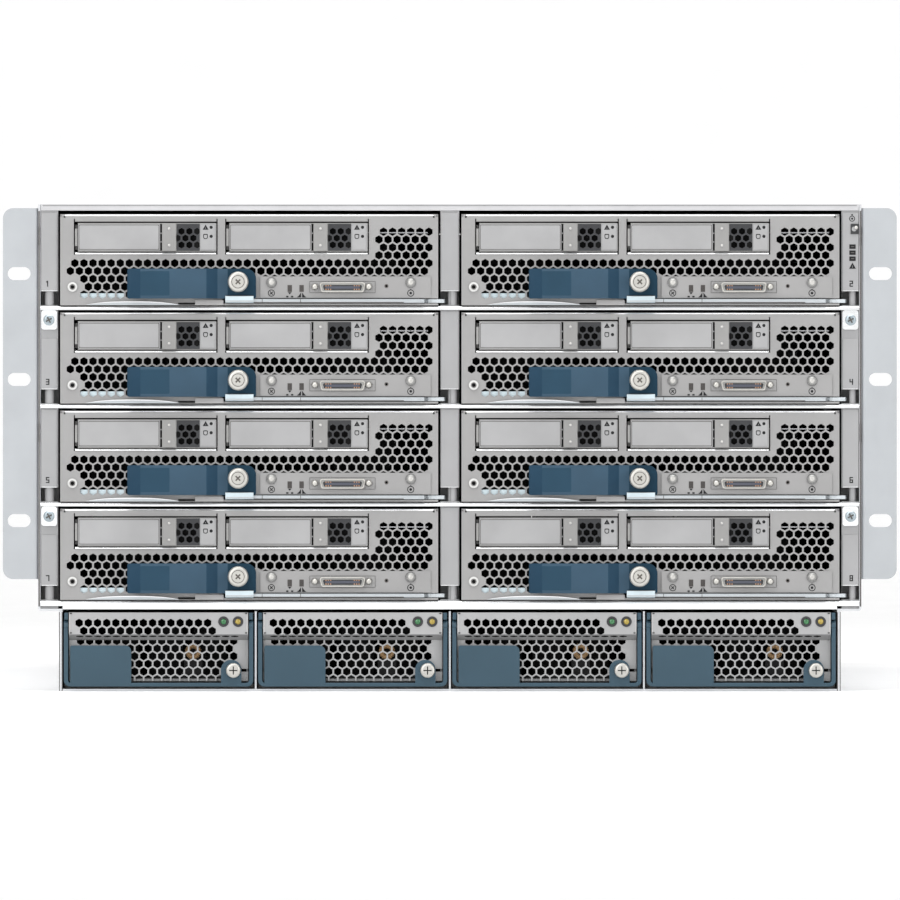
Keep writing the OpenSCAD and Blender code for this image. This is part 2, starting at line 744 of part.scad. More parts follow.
// Places a piece drawn from a blade's own lower left front corner in its slot
module in_slot(n) seat() translate([slot_x(n), -blade_proud, slot_z(n)]) children();

// Holes of the blade's front: rows of hexagons, numbered from the bottom
function hex_from(k) = k >= 5 ? 34 : k >= 3 ? 0 : k == 1 ? 2 : 1;
function hex_to(k) = k >= 3 ? 39 : k == 2 ? 38 : 7;
function hex_open(k, i) = k > 2 || i < 8 || i > 20;      // no holes behind the lever's grip

module blade_holes() {
    rise = hex_pitch * cos(30);
    for (k = [0:8], i = [hex_from(k):hex_to(k)]) if (hex_open(k, i))
        translate([hex_x + (i - (k % 2) / 2) * hex_pitch, hex_z + k * rise]) hexagon(hex_flat);
}

// Drive bays, with a thin relief slot over each upper corner
module blade_bays() {
    for (b = [0, 1]) translate([bay_x + b * (bay_w + bay_web), bay_z]) {
        round_patch(bay_w, bay_h + bay_head, 0.6);
        for (x = [0, bay_w - drive_side_gap]) translate([x, bay_h - 1]) square([drive_side_gap, relief_l + 1]);
    }
}

module blade_face() {
    difference() {
        patch([0, 0], [blade_w, blade_h - blade_bend_r]);
        blade_holes();
        blade_bays();
        patch([notch_x, -cut], [blade_w + cut, notch_h]);
        translate([thumb_x, thumb_z]) circle(2.6);
        translate([guide_x, guide_z]) circle(1.1);
        for (x = button_x) translate([x, button_z]) circle(button_r + 0.2);
        translate([console_x, console_z]) square([console_w, console_h]);
    }
}

module blade_tray() difference() {
    union() {
        along_y(0, blade_t) blade_face();
        along_x(0, blade_w) translate([0, blade_h]) bent_edge(26, blade_bend_r + slack, blade_t, blade_bend_r);
        along_z(0, blade_t) patch([0, 0], [blade_w, blade_len]);
        for (x = [0, blade_w - blade_t])
            along_y(blade_t / 2, blade_len) patch([x, blade_t / 2], [x + blade_t, blade_h - blade_t - slack]);
    }
    // corner notches of the bent top edge
    for (x = [0, blade_w]) translate([x, 0, blade_h])
        cube([2.2, 2 * (blade_bend_r + 0.4), 2 * blade_bend_r], center = true);
    // way for the lever's hook
    block([blade_w - 3, -cut, blade_t], [blade_w + cut, 17, notch_h]);
}

module heat_sink(w, d, h) {
    cube([w, d, 3]);
    for (i = [0:4]) translate([i * (w - 2) / 4, 0, 2.9]) cube([2, d, h - 2.9]);
}

module blade_inside() {
    // drive cage behind the bays
    cage_l = bay_x - 1.6;
    cage_r = bay_x + 2 * bay_w + bay_web + 1.6;
    for (z = [bay_z - 1.4, bay_z + bay_h + 0.4])
        along_z(z, z + 1) patch([cage_l, blade_t + slack], [cage_r, drive_len + 14]);
    for (x = [cage_l, bay_x + bay_w + bay_web / 2 - 0.5, cage_r - 1])
        block([x, blade_t + slack, bay_z - 0.3], [x + 1, drive_len + 14, bay_z + bay_h + 0.3]);
    block([cage_l, drive_len + 10, bay_z + 1], [cage_r, drive_len + 12, bay_z + bay_h - 1]);
    // system board, processors and memory
    block([5, 30, blade_t + 4], [blade_w - 5, blade_len - 22, blade_t + 5.6]);
    for (x = [14, blade_w - 14], y = [70, 250, 430])
        translate([x, y, blade_t / 2]) cylinder(r = 3, h = 4 + blade_t / 2 - slack);
    for (y = [170, 360]) translate([62, y, blade_t + 5.7]) heat_sink(80, 95, 28);
    for (x = [12, 146], y = [165, 355])
        block([x, y, blade_t + 5.7], [x + 34, y + 134, blade_t + 36]);
    // connector at the back
    difference() {
        block([socket_x - 4, blade_len - 20, socket_z - 3 - run_gap],
              [socket_x + socket_w + 4, blade_len, socket_z + socket_h + 3]);
        block([socket_x, blade_len - 4, socket_z], [socket_x + socket_w, blade_len + cut, socket_z + socket_h - 1]);
    }
    // pivot of the lever
    translate([pivot_x, pivot_back, blade_t / 2]) cylinder(r = pivot_r, h = notch_h + 1 - blade_t / 2);
    translate([pivot_x, pivot_back, arm_z + arm_t + 0.35]) cylinder(r = 3.4, h = 1.2);
}

module blade_controls() {
    // control plate with its lights and buttons
    along_y(-0.8, -slack) difference() {
        patch([108, notch_h + 0.3], [200, button_z + button_r + 0.7]);
        for (x = button_x) translate([x, button_z]) circle(button_r + 0.2);
        for (x = lamp_x) translate([x, lamp_z]) circle(0.9);
        translate([console_x, console_z]) square([console_w, console_h]);
        translate([reset_x, 10.4]) circle(0.7);
    }
    for (x = lamp_x) rod_y(x, lamp_z, 0.8, -0.9, 0.9);
    for (x = button_x) rod_y(x, button_z, button_r, -1.8, 6);
    // console socket with its two screw posts
    translate([console_x, 0, console_z]) {
        difference() {
            union() {
                along_y(-2.6, 8) translate([5.6, 0.4]) round_patch(24.4, 5.3, 1.6);
                along_y(-1.2, 0.8) translate([0.2, 0.2]) square([console_w - 0.4, console_h - 0.4]);
            }
            along_y(-2.6 - cut, -2.2) translate([6.2, 1]) round_patch(23.2, 4.1, 1.2);
        }
        for (x = [2.8, 32]) rod_y(x, 3.3, 1.5, -4.6, 0);
    }
    // guide at the lower left
    difference() {
        rod_y(guide_x, guide_z, 2.55, -0.6, -slack);
        rod_y(guide_x, guide_z, 1.05, -0.6 - cut, 0);
    }
}

module blade(n) color("silver") in_slot(n) {
    blade_tray();
    along_z(blade_h - blade_t, blade_h) patch([0, 26 + slack], [blade_w, blade_len]);
    blade_inside();
    blade_controls();
}

// Lever that draws a blade out of its slot: arm, hook, grip and captive screw
module blade_lever(n) color("slategray") in_slot(n) {
    hook_r = 2.2;
    difference() {
        union() {
            along_z(arm_z, arm_z + arm_t) {
                patch([tab_x, arm_front], [pivot_x, 4.6]);
                translate([pivot_x, pivot_back]) circle(4.2);
                patch([pivot_x - 9, 2], [pivot_x, pivot_back + 4.2]);
                patch([pivot_x, pivot_back - hook_r], [pivot_x + pivot_in + hook_out - hook_r, pivot_back + hook_r]);
                translate([pivot_x + pivot_in + hook_out - hook_r, pivot_back]) circle(hook_r);
            }
            along_y(-1.9, -0.7) translate([tab_x, arm_z]) round_patch(tab_w, 17, 2);
            block([tab_x, arm_front, arm_z], [tab_x + tab_w, -0.7, arm_z + arm_t]);
        }
        translate([pivot_x, pivot_back, 0]) cylinder(r = pivot_r + pin_fit, h = 10);
        rod_y(thumb_x, thumb_z, 1.8, -5, 1);
    }
    // grip: a high part over the finger gap and a low part under the screw
    bend_x = 43.6;
    difference() {
        translate([grip_x, 0, grip_z]) union() {
            along_z(0, grip_h) polygon([
                [0, grip_high_y], [bend_x, grip_high_y], [bend_x + 5.2, grip_low_y], [grip_w, grip_low_y],
                [grip_w, grip_low_y + grip_t], [bend_x + 4.2, grip_low_y + grip_t],
                [bend_x - 1, grip_high_y + grip_t], [0, grip_high_y + grip_t]
            ]);
        }
        // round upper corner
        along_y(grip_high_y - cut, cut) translate([grip_x + grip_w - grip_corner_r, grip_z + grip_h - grip_corner_r])
            difference() {
                square(2 * grip_corner_r);
                circle(grip_corner_r);
            }
        // name recess, left bare
        translate([grip_x + 6.9, grip_high_y - cut, grip_z + 1.6]) cube([15.9, cut + 0.4, grip_h - 3.2]);
        rod_y(thumb_x, thumb_z, 1.8, -12, 1);
    }
    // captive screw
    difference() {
        union() {
            rod_y(thumb_x, thumb_z, thumb_d / 2, thumb_y, thumb_y + thumb_l);
            rod_y(thumb_x, thumb_z, 1.6, thumb_y + thumb_l - slack, 3);
        }
        for (a = [0, 90]) translate([thumb_x, thumb_y - cut, thumb_z]) rotate([0, a, 0])
            cube([5.4, 2 * cut + 2.4, 1.2], center = true);
    }
}

// ---- drive ----

// Drive carrier with a hot-swap drive; bay 0 is the left bay and bay 1 the right
module drive(n, bay) color("gainsboro") in_slot(n)
    translate([bay_x + bay * (bay_w + bay_web) + drive_side_gap, 0, bay_z + drive_gap]) {
        w = bay_w - 2 * drive_side_gap;
        h = bay_h - 2 * drive_gap;
        // front frame with the perforated grille
        difference() {
            along_y(-0.9, 3) difference() {
                round_patch(w, h, 0.5);
                for (i = [0:2], j = [0:2])
                    translate([grille_x + (i - (j % 2) / 2) * grille_pitch, 3.6 + j * grille_pitch * 0.86])
                        hexagon(grille_flat);
                for (z = [-1, h - 3]) translate([-1, z]) square([2.6, 4]);
            }
            block([1.2, -cut - 1, 0.5], [latch_r + 0.4, 0, h - 0.5]);
            for (z = [8.2, 13.1]) rod_y(w - 2.8, z, 0.7, -cut - 1, 1);
        }
        // latch plate, its fulcrum strip and rivets
        block([1.6, -0.8, 0.8], [latch_r, -slack, h - 0.8]);
        block([strip_l, -1.7, 0.4], [strip_r, -1, h - 0.4]);
        for (z = [3.3, h - 3.1]) rod_y((strip_l + strip_r) / 2, z, 0.9, -2.1, -1.8);
        // rails and drive
        for (x = [0, w - 1.2]) block([x, 3 + slack, 1], [x + 1.2, drive_len, h - 1]);
        block([(w - 70) / 2, 3 + slack, 1], [(w + 70) / 2, drive_len - 3, h - 1.2]);
    }

// ---- power supply ----

module in_bay(n) seat() translate([supply_x(n), -supply_proud, supply_z]) children();

// Holes of the supply's front over its slope: two rows, numbered from the top
module upper_holes() {
    for (k = [0, 1], i = [0:14])
        translate([upper_hex_x + (i + k / 2) * upper_pitch, supply_h - 5.6 - k * upper_pitch * sin(60)])
            hexagon(hex_flat);
}

// Holes under the slope: a long first row, and shorter ones beside the name plate
function lower_from(k) = k == 0 ? 0 : 6 - k % 2;
function lower_to(k) = k == 0 || k == 2 ? 17 : k == 1 ? 16 : 15;

module lower_holes() {
    for (k = [0:5], i = [lower_from(k):lower_to(k)])
        translate([lower_hex_x + (i + (k % 2) / 2) * lower_pitch, slope_foot - 0.95 - k * lower_pitch * 0.852])
            hexagon(hex_flat);
}

module supply(n) color("lightgray") in_bay(n) {
    // case behind the front
    difference() {
        union() {
            along_y(front_back, supply_len) difference() {
                patch([0, 0], [supply_w, supply_h]);
                patch([supply_t, supply_t], [supply_w - supply_t, supply_h - supply_t]);
            }
            along_y(supply_len - supply_t, supply_len) patch([0.5, 0.5], [supply_w - 0.5, supply_h - 0.5]);
            along_y(front_back, front_back + supply_t) difference() {
                patch([0.5, 0.5], [supply_w - 0.5, supply_h - 0.5]);
                patch([front_in + 2, front_foot + 2], [supply_w - front_in - 2, supply_h - 3]);
            }
        }
        for (i = [0:4]) block([10 + 17 * i, supply_len - supply_t - cut, 12],
                              [22 + 17 * i, supply_len + cut, supply_h - 6]);
    }
    // stepped front of bent sheet
    difference() {
        union() {
            along_y(0, supply_t) patch([front_in, slope_top], [supply_w - front_in, supply_h]);
            along_y(supply_step, supply_step + supply_t)
                patch([front_in, front_foot], [supply_w - front_in, slope_foot]);
            along_x(front_in, supply_w - front_in) polygon([
                [0, slope_top], [supply_t, slope_top + 0.4], [supply_step + supply_t, slope_foot],
                [supply_step + supply_t, slope_foot - 0.6], [supply_step, slope_foot - 0.6]
            ]);
            for (x = [front_in, supply_w - front_in - supply_t]) along_x(x, x + supply_t) polygon([
                [0, supply_h], [0, slope_top], [supply_step, slope_foot], [supply_step, front_foot],
                [front_back - slack, front_foot], [front_back - slack, supply_h]
            ]);
            along_z(supply_h - supply_t, supply_h) patch([front_in, 0], [supply_w - front_in, front_back - slack]);
            along_z(front_foot, front_foot + supply_t)
                patch([front_in, supply_step], [supply_w - front_in, front_back - slack]);
        }
        along_y(-cut, supply_t + cut) {
            upper_holes();
            for (x = [86.2, 94]) translate([x, supply_h - 4.9]) circle(2.65);
        }
        along_y(supply_step - 1, supply_step + supply_t + cut) lower_holes();
        for (x = [front_in - cut, supply_w - front_in - 5]) block([x, -cut, 9], [x + 6, supply_step + supply_t + cut, 10.6]);
    }
    for (x = [86.2, 94]) rod_y(x, supply_h - 4.9, 2.4, 0.2, 6);
    // power train behind the front: blower, core and capacitors
    block([8, 20, 1.2], [supply_w - 8, supply_len - 12, 3]);
    block([choke_x - 5, 16, 3.1], [choke_x + 5, 27, choke_z - choke_r + 0.6]);
    rod_y(choke_x, choke_z, choke_r, 18, 25);
    for (x = [20, 44, 68], y = [110, 240, 370]) block([x, y, 3.1], [x + 18, y + 90, 32]);
    // pivots of the handle
    for (x = [0.2, supply_w - 0.2 - front_in])
        translate([x, handle_y, handle_z]) rotate([0, 90, 0]) cylinder(r = handle_pin_r, h = front_in);
}

// Handle of a supply: a bail with a name plate and a screw tab
module supply_handle(n) color("steelblue") in_bay(n) {
    foot = 1;
    bar_t = 2;
    plate_y = 1;
    plate_t = 1.6;
    difference() {
        union() {
            for (x = [0, supply_w - handle_t]) along_x(x, x + handle_t) {
                patch([handle_y - handle_half, foot + 1], [handle_y + handle_half, handle_z]);
                translate([handle_y, handle_z]) circle(handle_half);
            }
            along_y(handle_y - handle_half, handle_y + handle_half) difference() {
                translate([0, foot]) round_patch(supply_w, 12, 2.4);
                translate([handle_t, foot + bar_t]) round_patch(supply_w - 2 * handle_t, 12, 0.8);
                patch([-cut, foot + 6], [supply_w + cut, foot + 13]);
            }
            along_y(plate_y, plate_y + plate_t) {
                translate([3.4, foot]) round_patch(33, 22.2, 1.6);
                translate([84.8, foot]) round_patch(11, 14.4, 5);
                patch([84.8, foot], [95.8, foot + 6]);
            }
        }
        for (x = [-cut, supply_w - handle_t - cut])
            translate([x, handle_y, handle_z]) rotate([0, 90, 0])
                cylinder(r = handle_pin_r + pin_fit, h = handle_t + 2 * cut);
        rod_y(91.5, 9.75, screw_r + slack, 0, 4);
    }
    // captive screw in the tab
    difference() {
        union() {
            rod_y(91.5, 9.75, 4.1, -1.6, plate_y - slack);
            rod_y(91.5, 9.75, screw_r, -0.2, 4.2);
        }
        for (a = [0, 90]) translate([91.5, -1.6 - cut, 9.75]) rotate([0, a, 0])
            cube([5, 2 * cut + 2, 1], center = true);
    }
}

lower_pan();
side_walls();
top_cover();
rack_ears();
bay_shelves();
slot_posts();
midplane();
rear_frame();
fan_mounts();
power_inlets();
for (n = [1, 2]) io_module(n);
for (n = [1:slots]) {
    blade(n);
    blade_lever(n);
    drive(n, 0);
    drive(n, 1);
}
for (n = [1:supplies]) {
    supply(n);
    supply_handle(n);
}
for (n = [1:fans]) fan_rotor(n);
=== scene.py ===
# Looks for the blade server chassis: finishes, small parts, lights and camera
import bpy
import math
from mathutils import Matrix, Vector


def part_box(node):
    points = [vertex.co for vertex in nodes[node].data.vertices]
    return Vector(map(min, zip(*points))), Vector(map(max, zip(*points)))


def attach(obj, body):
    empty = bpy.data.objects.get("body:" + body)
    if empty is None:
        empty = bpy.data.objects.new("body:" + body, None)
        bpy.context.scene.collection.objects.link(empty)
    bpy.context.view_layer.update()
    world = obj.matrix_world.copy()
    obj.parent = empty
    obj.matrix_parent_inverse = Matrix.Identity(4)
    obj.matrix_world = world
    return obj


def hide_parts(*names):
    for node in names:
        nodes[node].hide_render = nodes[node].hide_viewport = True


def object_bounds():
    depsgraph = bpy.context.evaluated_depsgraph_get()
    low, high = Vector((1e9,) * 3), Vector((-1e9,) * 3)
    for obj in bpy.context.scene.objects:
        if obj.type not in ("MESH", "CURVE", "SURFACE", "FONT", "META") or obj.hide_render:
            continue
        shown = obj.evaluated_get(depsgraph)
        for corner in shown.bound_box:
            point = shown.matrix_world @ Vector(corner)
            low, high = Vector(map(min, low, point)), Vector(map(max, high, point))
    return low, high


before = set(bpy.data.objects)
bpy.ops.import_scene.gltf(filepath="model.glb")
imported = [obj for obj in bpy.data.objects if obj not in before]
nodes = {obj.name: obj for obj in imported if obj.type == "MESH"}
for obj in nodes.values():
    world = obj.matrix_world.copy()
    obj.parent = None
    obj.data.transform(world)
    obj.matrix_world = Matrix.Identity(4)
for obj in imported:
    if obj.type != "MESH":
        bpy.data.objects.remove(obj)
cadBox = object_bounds()
mm = 0.001


def say(stage):
    print("scene:", stage)


def lowCorner(node):
    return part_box(node)[0]


def highCorner(node):
    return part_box(node)[1]


def lowMm(node):
    return lowCorner(node) * 1000


def highMm(node):
    return highCorner(node) * 1000


def newMaterial(name, color, roughness, metallic=0.0, specular=0.5, coat=0.0):
    mat = bpy.data.materials.new(name)
    mat.use_nodes = True
    sockets = mat.node_tree.nodes["Principled BSDF"].inputs
    for key, value in (("Base Color", (*color, 1)), ("Roughness", roughness), ("Metallic", metallic),
                       ("Specular IOR Level", specular), ("Coat Weight", coat)):
        sockets[key].default_value = value
    return mat


class Graph:
    # short hand for wiring a material
    def __init__(self, mat):
        self.tree = mat.node_tree
        self.bsdf = self.tree.nodes["Principled BSDF"]
        self.coord = None

    def add(self, kind, **settings):
        node = self.tree.nodes.new(kind)
        for key, value in settings.items():
            setattr(node, key, value)
        return node

    def link(self, a, b):
        self.tree.links.new(a, b)

    def place(self):
        if self.coord is None:
            self.coord = self.add("ShaderNodeTexCoord")
        return self.coord.outputs["Object"]

    def math(self, op, a, b=None):
        node = self.add("ShaderNodeMath", operation=op)
        for socket, value in zip(node.inputs, (a, b)):
            if value is None:
                continue
            if isinstance(value, (int, float)):
                socket.default_value = value
            else:
                self.link(value, socket)
        return node.outputs[0]

    def noise(self, scale, detail=3.0, stretch=None):
        tex = self.add("ShaderNodeTexNoise")
        tex.inputs["Scale"].default_value = scale
        tex.inputs["Detail"].default_value = detail
        tex.inputs["Roughness"].default_value = 0.55
        vector = self.place()
        if stretch:
            mapping = self.add("ShaderNodeMapping")
            mapping.inputs["Scale"].default_value = stretch
            self.link(vector, mapping.inputs["Vector"])
            vector = mapping.outputs[0]
        self.link(vector, tex.inputs["Vector"])
        return tex.outputs["Fac"]

    def ramp(self, value, low, high):
        # from one colour to the other over the middle of 0..1
        node = self.add("ShaderNodeValToRGB")
        for stop, position, color in zip(node.color_ramp.elements, (0.3, 0.7), (low, high)):
            stop.position = position
            stop.color = (*color, 1)
        self.link(value, node.inputs[0])
        return node.outputs[0]

    def span(self, value, low, high):
        # a value taken from 0..1 to low..high
        node = self.add("ShaderNodeMapRange")
        node.inputs["To Min"].default_value = low
        node.inputs["To Max"].default_value = high
        self.link(value, node.inputs["Value"])
        return node.outputs[0]

    def mix(self, factor, a, b):
        node = self.add("ShaderNodeMix", data_type="RGBA")
        self.link(factor, node.inputs["Factor"])
        self.link(a, node.inputs[6])
        self.link(b, node.inputs[7])
        return node.outputs[2]

    def bump(self, height, distance, strength):
        node = self.add("ShaderNodeBump")
        node.inputs["Distance"].default_value = distance
        node.inputs["Strength"].default_value = strength
        self.link(height, node.inputs["Height"])
        self.link(node.outputs[0], self.bsdf.inputs["Normal"])

    def color(self, socket):
        self.link(socket, self.bsdf.inputs["Base Color"])

    def rough(self, socket):
        self.link(socket, self.bsdf.inputs["Roughness"])


def shade(color, k):
    return tuple(min(1.0, c * k) for c in color)


def cloudy(g, color, scale, grain):
    return g.ramp(g.noise(scale, 3), shade(color, 1 - grain), shade(color, 1 + grain))


def sprayed(g, roughness, peel=0.00004):
    # orange peel, and a sheen that varies with it
    g.rough(g.span(g.noise(90, 2), roughness - 0.05, roughness + 0.06))
    g.bump(g.noise(1500, 2), peel, 0.5)


def paint(name, color, roughness=0.42, grain=0.05, peel=0.00004, **more):
    # sprayed paint with a faint cloud in its colour
    mat = newMaterial(name, color, roughness, **more)
    g = Graph(mat)
    g.color(cloudy(g, color, 34, grain))
    sprayed(g, roughness, peel)
    return mat


def sheetMetal(name, color, roughness=0.34, along=(1, 60, 60)):
    # rolled and plated sheet: fine lines along one way and a soft spangle
    mat = newMaterial(name, color, roughness, 1.0)
    g = Graph(mat)
    lines = g.noise(55, 4, along)
    cloud = g.noise(22, 2)
    mixed = g.math("ADD", g.math("MULTIPLY", lines, 0.6), g.math("MULTIPLY", cloud, 0.4))
    g.color(g.ramp(mixed, shade(color, 0.9), shade(color, 1.08)))
    g.rough(g.span(lines, roughness - 0.07, roughness + 0.09))
    g.bump(lines, 0.00002, 0.4)
    return mat


def plastic(name, color, roughness=0.45, grain=0.06, **more):
    # moulded plastic: a fine even grain
    mat = newMaterial(name, color, roughness, **more)
    g = Graph(mat)
    g.color(cloudy(g, color, 60, grain))
    g.rough(g.span(g.noise(240, 2), roughness - 0.05, roughness + 0.08))
    g.bump(g.noise(2600, 2), 0.00005, 0.6)
    return mat


tones = {
    "blade": (0.25, 0.247, 0.246),
    "post": (0.275, 0.275, 0.28),
    "ear": (0.335, 0.35, 0.366),
    "cover": (0.42, 0.42, 0.43),
    "drive": (0.255, 0.252, 0.247),
    "latch": (0.285, 0.285, 0.288),
    "supply": (0.31, 0.31, 0.312),
    "gripBlue": (0.0276, 0.060, 0.0936),
    # the next three tones are the grip's blue darkened as painted shade and painted shadow
    "gripShade": (0.012, 0.037, 0.065),
    "gripPocketShade": (0.017, 0.046, 0.075),
    "gripFootShadow": (0.006, 0.026, 0.046),
    "bailBlue": (0.03, 0.062, 0.087),
    # painted shade for the insides of blades, supplies and drives
    "inside": (0.003, 0.003, 0.0034),
}

evenGrain = (20, 20, 20)  # for small turned parts, which show no rolling lines
matZinc = sheetMetal("zincSheet", (0.62, 0.63, 0.65), 0.36)
# bright zinc for the shelves, also used as painted highlight on lips, bends and edges
matZincAndHighlight = sheetMetal("brightZincAndHighlight", (0.86, 0.87, 0.88), 0.28)
matBlueZinc = sheetMetal("blueZinc", (0.56, 0.65, 0.69), 0.4, (2, 2, 2))
# the arm's zinc, also used as painted shade on the lower stretch of the lever's fold
matArm = sheetMetal("armZincAndShade", (0.46, 0.49, 0.51), 0.42, (1, 30, 30))
matNickel = sheetMetal("nickel", (0.78, 0.78, 0.79), 0.2, evenGrain)
matCream = sheetMetal("satinNickel", (0.5, 0.49, 0.46), 0.42, evenGrain)
matScrew = sheetMetal("screwNickel", (0.38, 0.38, 0.36), 0.4, evenGrain)
# a button's metal: lighter in its middle as painted highlight, darker at its side and rim as painted shade
matBallLit = sheetMetal("buttonLit", (0.5, 0.49, 0.47), 0.45, evenGrain)
matBallDeepShade = sheetMetal("buttonDeepShade", (0.12, 0.12, 0.12), 0.4, evenGrain)
matBallShade = sheetMetal("buttonShade", (0.3, 0.3, 0.29), 0.42, evenGrain)
matTabScrew = sheetMetal("tabScrewZinc", (0.34, 0.39, 0.42), 0.34, evenGrain)
matCopperPin = sheetMetal("contactCopper", (0.42, 0.24, 0.15), 0.4, evenGrain)
matEar = paint("earPaint", tones["ear"], 0.4)
matCover = paint("coverPaint", tones["cover"], 0.4)
matPost = paint("postPaint", tones["post"], 0.4)
matLatch = paint("latchPaint", tones["latch"], 0.36, 0.08)
# the latch plate's rim tone, also used as painted shade round rivets and along the cover's top edge
matRim = paint("latchRimAndShade", shade(tones["latch"], 0.86), 0.36)
matPanel = paint("controlPlate", shade(tones["blade"], 1.38), 0.4)
matSlope = paint("slopeShade", shade(tones["supply"], 0.6), 0.45)
# dark seam lines, also used as painted shade along the edges of the lever's arm and fold
matLine = paint("seamAndShadeGrey", (0.075, 0.07, 0.068), 0.5)
matGrip = plastic("gripBlue", tones["gripBlue"], 0.5, specular=0.2)
# the grip's blue darkened as painted shade at its left end, bend and recess, and as painted shadow on its
# low part
matGripShade = plastic("gripShade", tones["gripShade"], 0.55, specular=0.12)
matGripPocketShade = plastic("gripPocketShade", tones["gripPocketShade"], 0.55, specular=0.12)
matGripFootShadow = plastic("gripFootShadow", tones["gripFootShadow"], 0.5, specular=0.12)
matBail = paint("bailBlue", tones["bailBlue"], 0.42, specular=0.3)
matStrip = paint("stripPaint", shade(tones["drive"], 0.87), 0.4)
matMesh = paint("meshGrey", (0.036, 0.037, 0.04), 0.5, specular=0.25)
matBlack = plastic("blackPlastic", (0.018, 0.018, 0.02), 0.5)
matTongue = plastic("socketTongue", (0.05, 0.055, 0.075), 0.45)
# print, also used as painted shade in notches and screw crosses
matInkAndShade = plastic("printInkAndShade", (0.012, 0.012, 0.013), 0.6, specular=0.15)
# lamp hatching, also used as painted shade on bevels and in grooves
matHatchAndShade = plastic("lampHatchAndShade", (0.11, 0.1, 0.095), 0.5, specular=0.25)
matWhite = plastic("whitePlastic", (0.5, 0.5, 0.49), 0.4)
matFan = plastic("fanPlastic", (0.03, 0.03, 0.033), 0.45)
matRotor = plastic("rotorPlastic", (0.022, 0.022, 0.025), 0.4)
# near black: painted shade in holes, slots and gaps, also the dark filters behind the vents
matDarkHole = plastic("darkHole", (0.004, 0.004, 0.004), 0.8, specular=0.1)
# painted shade in the cross of a screw head
matCrossShade = plastic("screwCrossShade", (0.09, 0.08, 0.07), 0.6)
matBoard = plastic("circuitBoard", (0.012, 0.06, 0.03), 0.45, 0.2)
matGreen = newMaterial("lampGreen", (0.02, 0.13, 0.04), 0.2, coat=0.4)
matAmber = newMaterial("lampAmber", (0.3, 0.22, 0.03), 0.2, coat=0.4)
matWinding = plastic("chokeWinding", (0.42, 0.27, 0.14), 0.42, 0.2)
for lamp in (matGreen, matAmber):
    g = Graph(lamp)
    base = tuple(g.bsdf.inputs["Base Color"].default_value)[:3]
    g.color(g.ramp(g.noise(900, 2), shade(base, 0.8), shade(base, 1.25)))


def paintedShadeWithin(name, color, roughness, cells, **more):
    # a painted outside, and a dark inside of painted shade wherever a point lies inside one of the cells;
    # a cell is its lowest and highest corner, and the axis, start and step it repeats by
    shadeTone = tones["inside"]
    mat = newMaterial(name, color, roughness, **more)
    g = Graph(mat)
    split = g.add("ShaderNodeSeparateXYZ")
    g.link(g.place(), split.inputs[0])
    total = None
    for low, high, (wrapAxis, start, step) in cells:
        inside = None
        for i, value in enumerate(split.outputs):
            if i == wrapAxis:
                shifted = g.math("SUBTRACT", value, start)
                cell = g.math("FLOOR", g.math("DIVIDE", shifted, step))
                value = g.math("SUBTRACT", shifted, g.math("MULTIPLY", cell, step))
            above = g.math("GREATER_THAN", value, low[i])
            test = g.math("MULTIPLY", above, g.math("LESS_THAN", value, high[i]))
            inside = test if inside is None else g.math("MULTIPLY", inside, test)
        total = inside if total is None else g.math("MAXIMUM", total, inside)
    outer = cloudy(g, color, 34, 0.05)
    inner = g.ramp(g.noise(150, 3), shade(shadeTone, 0.6), shade(shadeTone, 1.6))
    g.color(g.mix(total, outer, inner))
    sprayed(g, roughness)
    return mat


def dress(name, mat):
    obj = nodes[name]
    if not obj.data.materials:
        obj.data.materials.append(mat)
    for slot in obj.material_slots:
        slot.material = mat


say("materials")


def roundPoly(points, r, steps=4):
    # a polygon with rounded corners; r is one radius or one per corner
    loop = []
    for i, point in enumerate(points):
        radius = r[i] if isinstance(r, (tuple, list)) else r
        p = Vector(point)
        if radius <= 0:
            loop.append(tuple(p))
            continue
        u = (Vector(points[i - 1]) - p).normalized()
        v = (Vector(points[(i + 1) % len(points)]) - p).normalized()
        half = u.angle(v) / 2
        centre = p + (u + v).normalized() * radius / math.sin(half)
        start = p + u * radius / math.tan(half) - centre
        end = p + v * radius / math.tan(half) - centre
        a0 = math.atan2(start.y, start.x)
        sweep = (math.atan2(end.y, end.x) - a0 + math.pi) % (2 * math.pi) - math.pi
        loop += [(centre.x + radius * math.cos(a0 + sweep * k / steps),
                  centre.y + radius * math.sin(a0 + sweep * k / steps)) for k in range(steps + 1)]
    return loop


def roundLoop(x0, z0, x1, z1, r=0.0, steps=4):
    # a rectangle from its lower left corner, anticlockwise
    return roundPoly([(x0, z0), (x1, z0), (x1, z1), (x0, z1)], r, steps)


def arc(u, v, r, degrees):
    # points round (u, v), one for each angle
    return [(u + r * math.cos(math.radians(a)), v + r * math.sin(math.radians(a))) for a in degrees]


def circleLoop(x, z, r, n=24, turn=0.0):
    return arc(x, z, r, [turn + 360 * i / n for i in range(n)])


def crossLoop(x, z, arm, w, turn=0.0):
    # outline of a screwdriver cross: arm long and w wide on each side of the middle
    points = []
    for k in range(4):
        a = math.radians(turn + 90 * k)
        for u, v in ((arm, -w), (arm, w), (w, w)):
            points.append((x + u * math.cos(a) - v * math.sin(a), z + u * math.sin(a) + v * math.cos(a)))
    return points


# shapes: vertices in mm and faces, with X across, Z up and Y away from the viewer

